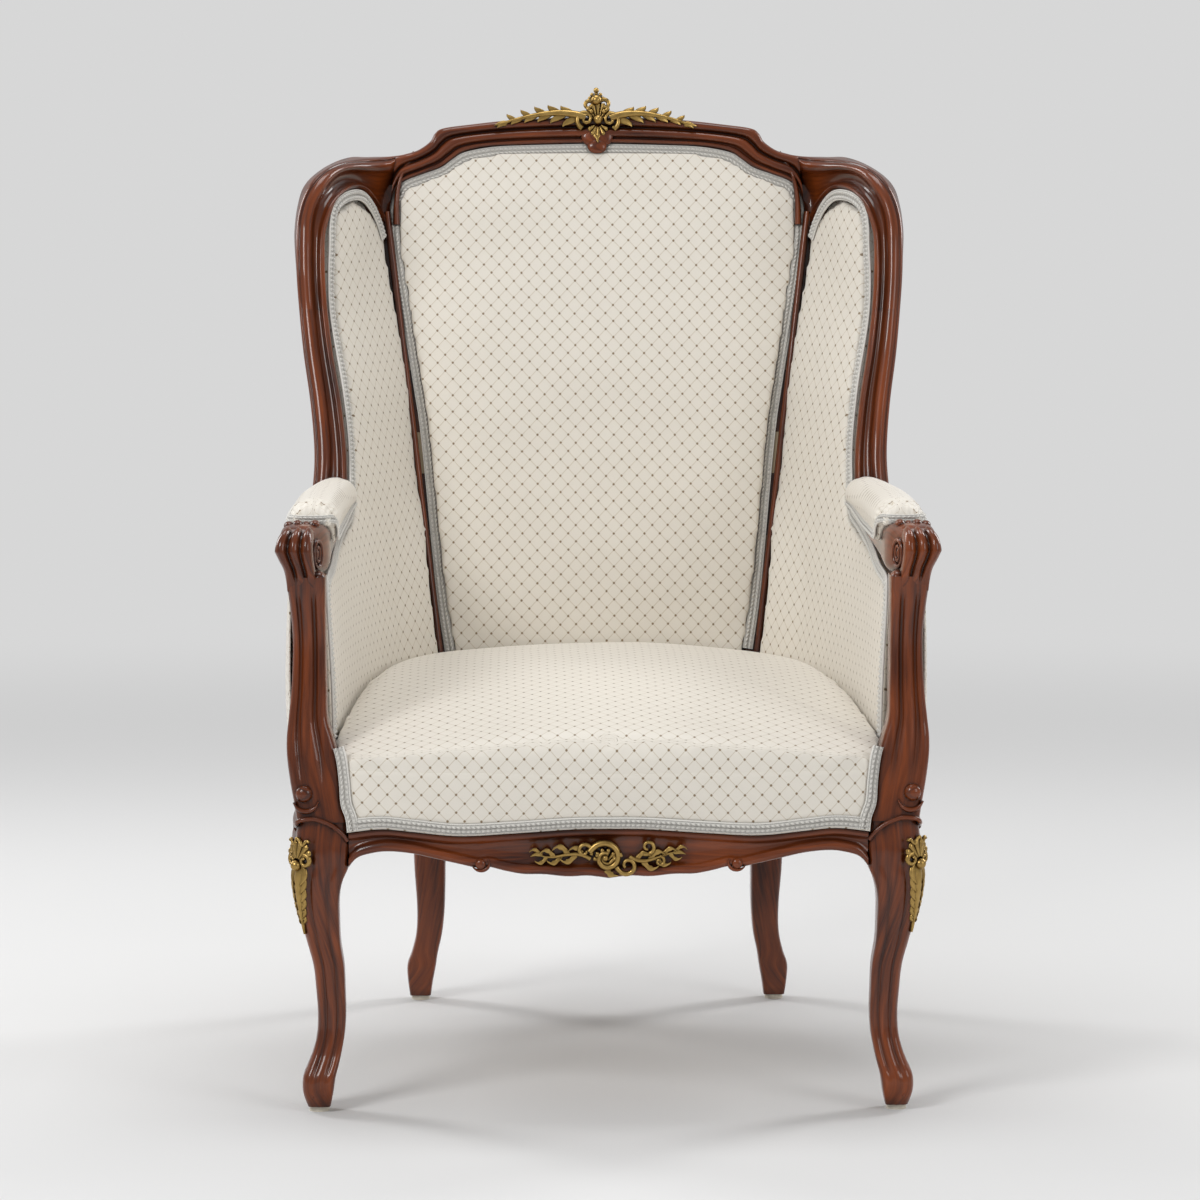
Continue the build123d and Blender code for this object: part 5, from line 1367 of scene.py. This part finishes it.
def seat_shape(pad):
    """The seat's front below its roll: y of the cloth at (x, z), from the pad above and the rail below."""
    tree = BVHTree.FromPolygons([v.co for v in pad.data.vertices], [p.vertices for p in pad.data.polygons])
    rows = []
    for k in range(28):
        x = k * 10.0
        hit = tree.ray_cast(Vector((x * MM, (SEAT_Y - 60 + SHIFT) * MM, SKIRT_TOP * MM)), Vector((0, 1, 0)))
        rows.append((x, hit[0].y / MM - SHIFT if hit[0] else seat_front(x) + 5))

    def cloth_y(x, z):
        x = abs(x)
        near = min(x, 262.0)
        top = table_at(rows, near) + (seat_front(x) - seat_front(near)) * 0.9 - 1.0
        if z > SKIRT_TOP:
            return top - 0.06 * (z - SKIRT_TOP)
        low = apron_high(min(x, RAIL_X)) - 2
        share = max(0.0, (z - low) / (SKIRT_TOP - low))
        return lerp(bow_y(min(x, RAIL_X)) - 2.0, top, sin(min(1.0, share) * pi / 2) ** 0.9)

    return cloth_y


def seat_skirt(cloth_y):
    """The cloth between the seat's roll and the rail, down behind the braid."""
    rows = []
    for i in range(15):
        row = []
        for k in range(61):
            u = k / 30 - 1
            low = apron_high(u * RAIL_X) - 2
            z = lerp(low, SKIRT_TOP, i / 13) if i < 14 else SKIRT_TOP + 4
            x = u * table_at(SEAT_EDGE, z)
            free = sin(pi * min(1.0, i / 13))
            crease = 0.9 * smooth(150, 270, abs(x)) * front_creases(x, z) + ripple(x * 0.5, 0, z * 1.6, 26, 0.7)
            row.append((x, cloth_y(x, z) - crease * free + (3.4 if i == 14 else 0.0), z))
        rows.append(row[::-1])
    o = panel("seat_skirt", rows, BROCADE, 1.2, 0.0, sheet=False)
    lay_pattern(o.data, lambda x, y, z, n: (x, z - ROLL_LOW))
    return o


def seat_gimp(cloth_y):
    """Braid along the seat's foot and, in a butted corner, up inside each stump."""
    corner = 279.0

    def laid(run, proud):
        pts, ns = [], []
        for x, _, z in even([(x, 0, z) for x, z in run], BRAID_STEP):
            across = (cloth_y(x + 2, z) - cloth_y(x - 2, z)) / 4
            up = (cloth_y(x, z + 2) - cloth_y(x, z - 2)) / 4
            n = Vector((across, -1, up)).normalized()
            pts.append(Vector((x, cloth_y(x, z), z)) + n * proud)
            ns.append(n)
        return braid("seat_gimp", pts, [n.normalized() for n in eased_run(ns, 6)])

    parts = [laid([(x, apron_high(x) + 6.5) for x in [lerp(-corner, corner, k / 80) for k in range(81)]], 1.0)]
    heights = [apron_high(corner) + 0.5 + 90 * k / 30 for k in range(31)]
    for side in (-1, 1):
        parts.append(laid([(side * (table_at(SEAT_EDGE, z) - 6.8), z) for z in heights], 1.5))
    return join("seat_gimp", parts)


def eased_run(pts, times):
    """Run of points smoothed a number of times, its ends kept."""
    for _ in range(times):
        pts = [pts[0]] + [(a + b * 2 + c) / 4 for a, b, c in zip(pts, pts[1:], pts[2:])] + [pts[-1]]
    return pts


# (length, size, outer x)
PAD_SHARES = [(0.0, 0.80, 0.966), (0.03, 0.93, 0.974), (0.10, 1.0, 0.976), (0.45, 1.0, 0.974),
              (0.8, 0.96, 0.955), (1.0, 0.92, 0.938)]
PAD_LOW = ARM_JOINT + (ARM_TOP - ARM_JOINT) * 0.99
PAD_NOSE_Y, PAD_W, PAD_H = KNEE_Y + 87, 54.0, 27.0
PAD_MIDDLE = ARM_X * 0.974 - PAD_W / 2
PAD_NOSE_OUTER, PAD_NOSE_SIZE = 0.966, 0.80
PAD_TOP = dense([(0.0, -0.02), (0.0, 0.25), (0.05, 0.56), (0.16, 0.82), (0.36, 0.98), (0.58, 1.0), (0.80, 0.86),
                 (0.94, 0.58), (1.0, 0.25), (1.0, -0.05)], 4)


def pad_y(t):
    return lerp(PAD_NOSE_Y, POST_FOOT_Y, t)


def pad_wrap(t, size):
    """How far the cover is wrapped down the arm's inner side, as a share of its most."""
    return size * smooth(0.0, 0.12, t) * (1 - 0.55 * smooth(0.45, 1.0, t))


def arm_pad():
    """Arm pad with a rounded nose gathered into pleats."""
    rows = []
    for k in range(9):
        turn = k / 9 * pi / 2
        rows.append((-0.045 * cos(turn), PAD_NOSE_SIZE, PAD_NOSE_OUTER, max(0.04, sin(turn))))
    rows += [(*r, 1.0) for r in dense(PAD_SHARES, 14)]
    rings = []
    for t, size, outer, grow in rows:
        x, y = ARM_X * outer, pad_y(t)
        w, h = PAD_W * size, PAD_H * size
        middle, inner = x - w / 2, x - w + 2
        pleat = 1 - smooth(-0.01, 0.10, t)
        ring = []
        for j, (a, b) in enumerate(PAD_TOP):
            fold = 1.0 + 0.045 * pleat * sin(j * 2.1) * smooth(0.0, 0.5, grow)
            ring.append((middle + (0.5 - a) * w * lerp(0.75, 1.0, grow) * fold, y - 0.8 * pleat * sin(j * 2.1),
                         PAD_LOW + h * b * grow * fold))
        wrap = grow * (3 + 21 * pad_wrap(t, size))
        ring += [(inner + 0.5, y, PAD_LOW - wrap * 0.5), (inner + 3, y, PAD_LOW - wrap),
                 (inner + 8, y, PAD_LOW - wrap), (inner + 9, y, PAD_LOW), (middle, y, PAD_LOW - 0.2),
                 (x - 3, y, PAD_LOW - 0.2)]
        rings.append(ring)
    o = skin("arm_pad", rings, BROCADE)

    def uv_of(x, y, z, n):
        down = 0.8 * (z - PAD_LOW) * (1 if x > PAD_MIDDLE else -1)
        return x - PAD_MIDDLE + down, y - 0.6 * max(0.0, PAD_NOSE_Y - y)

    lay_pattern(o.data, uv_of)
    return finer(o)


def pad_gimp():
    """Braid round the nose and along both sides of the arm pad's foot."""
    rows = dense(PAD_SHARES, 10)
    pts = [(ARM_X * outer + 0.6, pad_y(t), PAD_LOW + 5) for t, size, outer in reversed(rows)]
    half = PAD_W * PAD_NOSE_SIZE / 2
    for k in range(1, 12):
        a = pi * k / 12
        pts.append((ARM_X * PAD_NOSE_OUTER - half + half * cos(a), PAD_NOSE_Y - 18.0 * sin(a), PAD_LOW + 5.8))
    for t, size, outer in rows:
        x = ARM_X * outer - PAD_W * size + 2.6 * smooth(0.0, 0.1, t)
        pts.append((x, pad_y(t), PAD_LOW + 5 - 22 * pad_wrap(t, size)))
    path = eased_run(even(pts, BRAID_STEP), 14)
    ns = []
    for p in path:
        across = p.x - PAD_MIDDLE
        front = 1 - smooth(-262, -244, p.y)
        side = math.copysign(1 - front, across) + across / (PAD_W / 2) * front
        ns.append(Vector((side, -front * 1.2, 0.25)).normalized())
    ns = [n.normalized() for n in eased_run(ns, 10)]
    return braid("pad_gimp", path, ns, width=9.5, lift=0.8)


# --- gilt bronze mounts: laid out flat as (across, up, out) and wrapped onto the wood ---
CREST_MOUNT_Z, APRON_MOUNT_Z, KNEE_MOUNT_Z = 1054, 264, 198


def on_crest(a, b, h):
    return on_back(a, up_back(CREST_MOUNT_Z) + b, 8 + h)


def on_apron(a, b, h):
    return Vector((a, bow_y(a) - h, APRON_MOUNT_Z + b))


LEG_RUN = dense([(LEG_TOP * h, KNEE_X * a, KNEE_W * b) for h, a, b, c in FRONT_LEG_SHARES], 6)


def on_knee(a, b, h):
    """Point over the leg's front corner, where the mount is bent round both faces."""
    z = KNEE_MOUNT_Z + b
    k = min(range(len(LEG_RUN)), key=lambda i: abs(LEG_RUN[i][0] - z))
    _, x, w = LEG_RUN[k]
    y = KNEE_Y + KNEE_X - x
    bend = 0.5 * abs(a)
    corner = Vector((x - w * 0.10, y + w * 0.10, z))
    out = Vector((1, -1, 0)).normalized()
    return corner + Vector((1, 1, 0)).normalized() * a + out * (h + w * 0.03 - bend * 0.55)


def bezier(p, t):
    """Point at a share of the curve drawn by any number of control points."""
    q = [tuple(x) for x in p]
    while len(q) > 1:
        q = [tuple(lerp(a, b, t) for a, b in zip(u, v)) for u, v in zip(q, q[1:])]
    return q[0]


def off_wood(place, a, b):
    """Direction straight out of the wood at a point of a mount."""
    return tuple((place(a, b, 10) - place(a, b, 0)).normalized())


def leaf(place, path, width, thick=2.6, lobes=0, curl=3.0, blunt=0.5):
    """Ribbed leaf along a flat curve, lifting off towards its tip."""
    n, m = 16, 14
    rings = []
    for i in range(n + 1):
        t = i / n
        x, y = bezier(path, t)
        x2, y2 = bezier(path, min(1, t + 0.02))
        x1, y1 = bezier(path, max(0, t - 0.02))
        d = Vector((x2 - x1, y2 - y1)).normalized()
        w = width * max(0.05, sin(pi * min(1, t * 0.94 + 0.06) ** blunt) ** 0.8)
        if lobes:
            w *= 1 + 0.24 * cos(2 * pi * lobes * t)
        lift = 0.8 + curl * t * t
        ring = []
        for k in range(m):
            a = 2 * pi * k / m
            u, v = cos(a), sin(a)
            h = thick * v
            if v > 0:
                h -= 0.55 * thick * math.exp(-(u / 0.22) ** 2)
                h += 0.16 * thick * cos(5 * pi * u)
            ring.append(place(x - d.y * w * u, y + d.x * w * u, lift + h))
        rings.append(ring)
    return skin("leaf", rings, BRONZE)


def scroll(place, cx, cy, r0, r1, start, turns, thick):
    """Volute wound inwards from a start angle in degrees."""
    path = []
    n = int(abs(turns) * 26) + 4
    for k in range(n + 1):
        t = k / n
        a = radians(start) + 2 * pi * turns * t
        r = lerp(r0, r1, t ** 0.8)
        path.append(place(cx + r * cos(a), cy + r * sin(a), 1.2 + 1.6 * t))
    return pipe("scroll", path, lambda t: (thick * (1.05 - 0.45 * t), thick * (1.15 - 0.3 * t)), BRONZE,
                up=off_wood(place, cx, cy), sides=10)


def bead(place, a, b, r, out):
    """Round boss of a mount."""
    return blob("bead", tuple(place(a, b, out)), (r, r, r), BRONZE)


def several(maker, place, rows):
    """Parts of a mount, one for each row of numbers."""
    return [maker(place, *row) for row in rows]


def fan(place, cx, cy, r0, r1, a0, a1, count, width, curl):
    """Shell of round-ended ribs spread from a centre between two angles in degrees."""
    def rib_size(t):
        end = max(0.0, (t - 0.8) / 0.2) ** 2
        return width * (0.35 + 0.65 * t) * (1 - end * 0.85), 2.3 * (1 - end * 0.8)

    parts = []
    for k in range(count):
        share = k / (count - 1)
        a = radians(lerp(a0, a1, share))
        tip = r1 * (0.86 + 0.14 * sin(pi * share))
        path = []
        for r in [lerp(r0, tip, j / 12) for j in range(13)]:
            path.append(place(cx + r * cos(a), cy + r * sin(a), 1.2 + curl * (r / r1) ** 2))
        parts.append(pipe("rib", path, rib_size, BRONZE, up=off_wood(place, cx, cy), sides=10))
    return parts


def side_leaf(place, start, across, up, shape, width, thick=2.6, **look):
    """Leaf whose flat curve is a shape drawn to size across and up from its start."""
    x, y = start
    return leaf(place, [(x + across * a, y + up * b) for a, b in shape], width, thick, **look)


FEATHER = ((0, 0), (0.7, 0.35), (1.5, 0.55), (1.6, 1.0))
CURLED = ((0, 0), (0.4, 0.8), (1.0, 0.95), (1.4, 0.4))


def spray(place, sign, run, start, bend):
    """Feathery branch that runs out sideways from the mount's middle."""
    x0, y0 = start
    stem = [(x0, y0), (x0 + sign * run * 0.3, y0 + bend), (x0 + sign * run * 0.65, y0 + bend * 0.2),
            (x0 + sign * run, y0 - 8)]
    parts = [pipe("stem", [place(*bezier(stem, k / 30), 1.6) for k in range(31)],
                  lambda t: (lerp(5.2, 1.5, t), lerp(4.4, 1.8, t)), BRONZE, up=off_wood(place, x0, y0))]
    for k in range(11):
        t = 0.06 + 0.085 * k
        side = 1 if k % 2 else -1
        size = 1.05 - 0.5 * t
        length = (13 if side < 0 else 10) * size * run / 100
        parts.append(side_leaf(place, bezier(stem, t), sign * length, side * length, FEATHER, 4.4 * size, 3.0,
                               curl=2.4, blunt=0.75))
    x, y = stem[-1]
    parts.append(leaf(place, [(x - sign * 8, y + 1), (x, y + 1), (x + sign * 7, y - 2)], 3.6, curl=2.0))
    return parts


# Scrolls as (across, up, outer radius, inner radius, start angle, turns, thickness)
CREST_SCROLLS = [
    (-14, 25, 12, 3.0, 250, -1.15, 3.4), (16, 24, 12, 2.8, -70, 1.15, 3.3), (9, 43, 8, 2.4, 200, -1.1, 3.0),
    (-10, 42, 7, 2.2, -20, 1.1, 2.8),
]
APRON_SCROLLS = [
    (-3, 21, 19, 5.0, 160, -1.25, 3.8), (-3, 21, 9, 2.0, 20, -0.9, 2.4), (20, 13, 12, 3.0, 190, 1.1, 3.0),
    (-27, 29, 9, 2.6, -30, 1.1, 2.6), (42, 33, 9, 2.4, -120, 1.1, 2.6), (55, 17, 6, 1.8, 90, -1.0, 2.2),
]
KNEE_SCROLLS = [(-9.5, 82, 7, 2.4, 80, 1.1, 2.9), (9.5, 82, 7, 2.4, 100, -1.1, 2.9)]
# Beads as (across, up, radius, out)
CREST_BEADS = [(-1, 48, 6.4, 4.5), (-1, 60, 3.4, 3.5), (1, 24, 5.6, 5.0), (-7, 34, 3.0, 4), (8, 34, 3.0, 4)]
APRON_BEADS = [(-4, 21, 3.4, 4.0), (12, 25, 2.4, 3)]
# Leaves as (share of the branch, side, size) and, on the knee, (up, size)
APRON_LEAVES = [(0.15, 1, 0.9), (0.28, -1, 1.0), (0.42, 1, 1.0), (0.56, -1, 0.9), (0.70, 1, 0.85),
                (0.84, -1, 0.75), (0.97, 1, 0.7)]
KNEE_LEAVES = [(76, 1.0), (66, 0.95), (54, 0.85), (42, 0.72), (31, 0.58), (21, 0.45)]


def crest_mount():
    """Shells, scrolls and beads round the middle, with a spray on each side."""
    parts = spray(on_crest, -1, 104, (-14, 27), 12) + spray(on_crest, 1, 98, (16, 26), 13)
    parts += fan(on_crest, 1, 22, 6, 24, 35, 145, 7, 3.6, 3.0) + fan(on_crest, -1, 46, 2, 13, 30, 150, 5, 2.9,
                                                                     2.0)
    parts += fan(on_crest, 1, 20, 5, 17, 215, 325, 5, 3.6, 1.5)
    parts += several(scroll, on_crest, CREST_SCROLLS) + several(bead, on_crest, CREST_BEADS)
    parts.append(leaf(on_crest, [(0, 14), (-1, 8), (0, 2), (1, -4)], 5.0, 3.2, lobes=2, curl=2.0, blunt=0.6))
    return join("crest_mount", parts)


def apron_mount():
    """Off-centre shell and scrolls with a leafy branch on each side."""
    parts = several(scroll, on_apron, APRON_SCROLLS) + fan(on_apron, -4, 15, 5, 17, 25, 155, 6, 2.9, 2.0)
    for sign, (x0, y0), run, bend in ((-1, (-20, 20), 56, 14), (1, (22, 22), 52, -12)):
        stem = [(x0, y0), (x0 + sign * run * 0.35, y0 + bend), (x0 + sign * run * 0.7, y0 - bend * 0.4),
                (x0 + sign * run, y0 + 5)]
        parts.append(pipe("stem", [on_apron(*bezier(stem, k / 24), 1.4) for k in range(25)],
                          lambda t: (lerp(2.7, 1.0, t), lerp(2.9, 1.2, t)), BRONZE, up=(0, -1, 0), sides=10))
        for t, side, size in APRON_LEAVES:
            length = 12 * size
            parts.append(side_leaf(on_apron, bezier(stem, t), sign * length, side * length, CURLED, 3.4 * size,
                                   lobes=2))
        x, y = stem[-1]
        parts.append(leaf(on_apron, [(x - sign * 4, y), (x + sign * 3, y + 1), (x + sign * 9, y - 2)], 3.0))
    parts.append(leaf(on_apron, [(-2, 8), (0, 3), (4, 1), (10, 2)], 4.0, lobes=2))
    return join("apron_mount", parts + several(bead, on_apron, APRON_BEADS))


def knee_mount():
    """Shell over a round boss, with leaves that fall away down the leg's corner."""
    parts = fan(on_knee, 0, 80, 5, 25, 38, 142, 6, 4.6, 1.5)
    crown = [on_knee(a, 103 + 3.5 * cos(pi * a / 6.5) - 0.012 * a * a, 3.0) for a in range(-15, 16)]
    parts.append(pipe("crown", crown, lambda t: (1.9, 2.1), BRONZE, up=(1, -1, 0), sides=10))
    parts.append(bead(on_knee, 0, 77, 6.0, 3.5))
    parts += several(scroll, on_knee, KNEE_SCROLLS)
    parts.append(leaf(on_knee, [(0, 78), (-3, 58), (2, 30), (0, 0)], 7.2, 2.8, curl=1.0, blunt=0.6))
    for y, size in KNEE_LEAVES:
        length = 17 * size
        for side in (-1, 1):
            path = [(side * 1.5, y), (side * length * 0.55, y - length * 0.1),
                    (side * length * 0.72, y - length * 0.8), (side * length * 0.28, y - length * 1.25)]
            parts.append(leaf(on_knee, path, 3.8 * size, curl=2.0, blunt=0.75))
    return join("knee_mount", parts)


# --- outside covers and what is hidden ---
def note_cut(rows):
    """Works out a cover's longest column in metres and walks its cells; nothing is kept or returned."""
    flat = [[Vector(p) * MM for p in row] for row in rows]
    length = max(sum((b - a).length for a, b in zip(column, column[1:])) for column in zip(*flat))
    for low, high in zip(flat, flat[1:]):
        for a, b, c, d in zip(low, low[1:], high[1:], high):
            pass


def panel(name, rows, material, thick, bulge, sheet=True):
    """Closed sheet over a grid of points, bulged along its normals in the middle."""
    n, m = len(rows), len(rows[0])
    front, back, uvs = [], [], []
    for i in range(n):
        along = 0.0
        for j in range(m):
            p = Vector(rows[i][j])
            up = Vector(rows[min(i + 1, n - 1)][j]) - Vector(rows[max(i - 1, 0)][j])
            across = Vector(rows[i][min(j + 1, m - 1)]) - Vector(rows[i][max(j - 1, 0)])
            normal = up.cross(across).normalized()
            middle = (sin(pi * i / (n - 1)) * sin(pi * j / (m - 1))) ** 0.6
            front.append(tuple(p + normal * (bulge * middle)))
            back.append(tuple(p - normal * thick))
            if j:
                along += (p - Vector(rows[i][j - 1])).length
            uvs.append((along, p.z))
    off = n * m
    faces = []
    for i in range(n - 1):
        for j in range(m - 1):
            a, b, c, d = i * m + j, i * m + j + 1, (i + 1) * m + j + 1, (i + 1) * m + j
            faces += [(a, b, c, d), (off + d, off + c, off + b, off + a)]
    rim = [*range(m), *range(2 * m - 1, off, m), *range(off - 2, off - m - 1, -1), *range(off - 2 * m, 0, -m)]
    for a, b in zip(rim, rim[1:] + rim[:1]):
        faces.append((b, a, off + a, off + b))
    o = to_mesh(name, front + back, faces, material, uvs + uvs)
    outward(o)
    if sheet:
        note_cut(rows)
    return o


COVER_T = 2.0
OUT_ARM_SHARES = [
    (BAND_TOP, [(0.985, -0.02), (1.0, 0.16), (0.965, 0.42), (0.862, 0.70), (0.722, 0.90), (0.63, 1.03)]),
    (SEAT_LINE, [(1.018, -0.02), (1.03, 0.16), (1.0, 0.42), (0.905, 0.70), (0.765, 0.90), (0.632, 1.05)]),
    (611.4, [(1.012, -0.02), (1.018, 0.16), (1.008, 0.42), (0.985, 0.66), (0.862, 0.86), (0.668, 1.07)]),
]


def outside_arm():
    """Cover below the arm, bowed out over its stuffing."""
    rows = [[(x, y, z) for x, y in reversed(pts)] for z,
            pts in plan_curves(OUT_ARM_SHARES, KNEE_X, side_run, 12, 10)]
    return panel("outside_arm", rows, BROCADE, COVER_T, 5.0)


def outside_wing():
    """Cover from the wing's frame to the outer face of the stile."""
    edge = side_path(0.0)
    low, high = 598, 990
    rows = []
    for i in range(25):
        z = lerp(low, high, i / 24)
        inside = [y for y in range(60, 320, 2) if inside_of(edge, y, z) > 0]
        if not inside:
            continue
        rise = max(0.0, (z - ARM_TOP) / (WING_JOINT - ARM_TOP))
        front = max(min(inside) + 24, lerp(POST_FOOT_Y, POST_TOP_Y, min(1.0, rise)) + 18)
        stile = Vector((stile_x(z) + STILE_W / 2 - 3, back_y(z) + 16, z))
        back = max(front + 4, stile.y - 26)
        row = []
        for y in [lerp(front, back, k / 12) for k in range(13)]:
            row.append(Vector((wall_at(y, z)[0] + 29.0, y + 6, z)))
        last = row[-1]
        row += [last.lerp(stile, k / 4) for k in range(1, 5)]
        rows.append(row)
    return panel("outside_wing", rows, BROCADE, COVER_T, 3.0)


def outside_back():
    """Cover between the stiles, drawn in under the crest's shoulders."""
    low, shoulder, high = 402, 985, 1052
    rows = []
    for i in range(28):
        z = lerp(low, high, i / 27)
        w = stile_x(min(z, shoulder)) - STILE_W / 2 + 3
        if z > shoulder:
            w = min(w, lerp(248, 172, ((z - shoulder) / (high - shoulder)) ** 1.1))
        rows.append([on_back(lerp(w, -w, k / 20), up_back(z), -25.5) for k in range(21)])
    return panel("outside_back", rows, BROCADE, COVER_T, 4.0)


def dust():
    """Cloth under the seat, narrowed towards the back with the rails."""
    front_w, back_w, turn_y = 306, 196, -60
    rows = []
    for i in range(15):
        y = lerp(-318, 230, i / 14)
        w = front_w if y < turn_y else lerp(front_w, back_w, smooth(turn_y, 232, y))
        rows.append([(lerp(-w, w, k / 12), y, 287.0) for k in range(13)])
    return panel("dust_cover", rows, SACKING, 1.0, 0.0)


# --- putting the chair together ---
wing_post, wing_rail = wing_frame()
lean = Matrix.Rotation(-LEAN, 3, "X")
cartouche = [blob("shield", tuple(on_back(0, up_back(1058), 7)), (20, 4.0, 14), WOOD, lean),
             blob("shield", tuple(on_back(0, up_back(1046), 8)), (12, 4.0, 9), WOOD, lean)]
for stem, parts in (("wing_post", [wing_post]), ("wing_rail", [wing_rail, spine()]),
                    ("front_leg", [front_leg(), toe()]),
                    ("arm_stump", [arm_stump(), stump_foot()]), ("back_post", [back_post()]),
                    ("arm_rail", [arm_rail(), knuckle(), volute(), *knuckle_leaf()]),
                    ("seat_rail", [side_rail()])):
    both_sides(join(stem + "_wood", parts), stem + "_wood", [stem])
enter(join("crest_rail_wood", [crest(), *cartouche]), "crest_rail_wood", ["crest_rail"])
enter(apron(), "seat_rail_front_wood", ["seat_rail_front"])

enter(back_pad(), "inside_back_pad", ["back_stuffing", "back_cover"])
both_sides(side_pad(), "side_pad", ["side_stuffing", "side_cover"])
seat = seat_pad()
cloth_y = seat_shape(seat)
seat = join("seat_cushion", [seat, seat_skirt(cloth_y)])
enter(seat, "seat_cushion", ["seat_stuffing", "seat_cover"])
both_sides(arm_pad(), "arm_pad_soft", ["arm_pad"])

both_sides(side_gimp(), "side_braid", ["side_gimp"])
enter(back_gimp(), "back_braid", ["back_gimp"])
enter(seat_gimp(cloth_y), "seat_braid", ["seat_gimp"])
both_sides(pad_gimp(), "arm_pad_braid", ["arm_pad_gimp"])

both_sides(outside_arm(), "outside_arm_cover", ["outside_arm"])
both_sides(outside_wing(), "outside_wing_cover", ["outside_wing"])
enter(outside_back(), "outside_back_cover", ["outside_back"])
enter(dust(), "dust_cloth", ["dust_cover"])

enter(crest_mount(), "crest_ornament", ["crest_mount"])
enter(apron_mount(), "apron_ornament", ["apron_mount"])
both_sides(knee_mount(), "knee_ornament", ["knee_mount"])

# What stays hidden or plain is the frame's own shape with a material
for stem, material in (("seat_rail_rear", WOOD), ("back_bottom_rail", WOOD), ("corner_blocks", RAW_WOOD),
                       ("joint_dowels", WOOD), ("seat_webbing", WEBBING), ("back_webbing", WEBBING),
                       ("seat_springs", STEEL), ("spring_hessian", SACKING), ("mount_pins", BRONZE),
                       ("foot_glides", FELT)):
    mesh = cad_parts[stem].data
    mesh.materials.clear()
    mesh.materials.append(material)


# --- floor, light and camera ---
PALE = (0.68, 0.68, 0.68)
FLOOR = 60.0


def seen(t):
    """1 for rays that come straight from the camera."""
    return add(t, "LightPath").outputs["Is Camera Ray"]


def mixed_shader(t, factor, a, b, output):
    """Sends a mix of two shaders to the output."""
    mix = add(t, "MixShader")
    for socket, v in zip(mix.inputs, (factor, a, b)):
        plug(socket, v)
    feed(t.nodes[output], Surface=mix.outputs[0])


def floor_material():
    """Pale matt floor that turns into the background's tone away from the chair."""
    m, t, p = nodes_of("floor")
    feed(p, Base_Color=(0.74, 0.74, 0.74), Roughness=0.9)
    far = add(t, "VectorMath")
    far.operation = "LENGTH"
    plug(far.inputs[0], solid_place(t))
    fade = add(t, "MapRange", Value=far.outputs["Value"], From_Min=1.3, From_Max=4.5)
    fade.interpolation_type = "SMOOTHSTEP"
    glow = add(t, "Emission", Color=PALE)
    mixed_shader(t, reckon(t, "MULTIPLY", fade.outputs[0], seen(t)), p.outputs[0], glow.outputs[0],
                 "Material Output")
    return m


corners = [(-FLOOR, -FLOOR, 0), (FLOOR, -FLOOR, 0), (FLOOR, FLOOR, 0), (-FLOOR, FLOOR, 0)]
floor_mesh = bpy.data.meshes.new("floor")
floor_mesh.from_pydata(corners, [], [(0, 1, 2, 3)])
floor_mesh.materials.append(floor_material())
shown("floor", floor_mesh)

world = bpy.data.worlds.new("world")
bpy.context.scene.world = world
world.use_nodes = True
sky = world.node_tree
around = sky.nodes["Background"]
feed(around, Color=(1.0, 1.0, 1.0), Strength=0.40)
backdrop = add(sky, "Background", Color=PALE)
mixed_shader(sky, seen(sky), around.outputs[0], backdrop.outputs[0], "World Output")


def aimed(o, place, ahead):
    """Puts an object at a place and turns it to look ahead."""
    o.location = place
    o.rotation_mode = "QUATERNION"
    o.rotation_quaternion = ahead.to_track_quat("-Z", "Y")


# Lamps as (name, place, target, size, power)
for name, place, target, size, power in (
        ("key", (-2.2, -2.6, 2.7), (0, 0, 0.6), (1.2, 1.2), 56),
        ("fill", (2.6, -2.4, 1.7), (0, 0, 0.6), (1.4, 1.6), 22),
        ("rim_left", (-2.4, 1.4, 2.0), (0, 0.1, 0.7), (0.7, 1.8), 34),
        ("rim_right", (2.4, 1.4, 2.0), (0, 0.1, 0.7), (0.7, 1.8), 34),
        ("top", (0, 0.3, 3.2), (0, 0, 0.4), (1.6, 1.2), 26)):
    lamp = bpy.data.lights.new(name, "AREA")
    lamp.shape = "RECTANGLE"
    lamp.size, lamp.size_y = size
    lamp.energy = power
    aimed(shown(name, lamp), place, Vector(target) - Vector(place))

lens = bpy.data.cameras.new("camera")
lens.lens = 137.25
lens.sensor_width = 36.0
lens.clip_end = 100
camera = shown("camera", lens)
yaw, pitch = 0.0193, 0.1042  # radians, to the right and down
aimed(camera, (-0.1042, -5.247 + SHIFT * MM, 1.0774),
      Vector((sin(yaw) * cos(pitch), cos(yaw) * cos(pitch), -sin(pitch))))
bpy.context.scene.camera = camera
bpy.context.scene.view_settings.view_transform = "Standard"
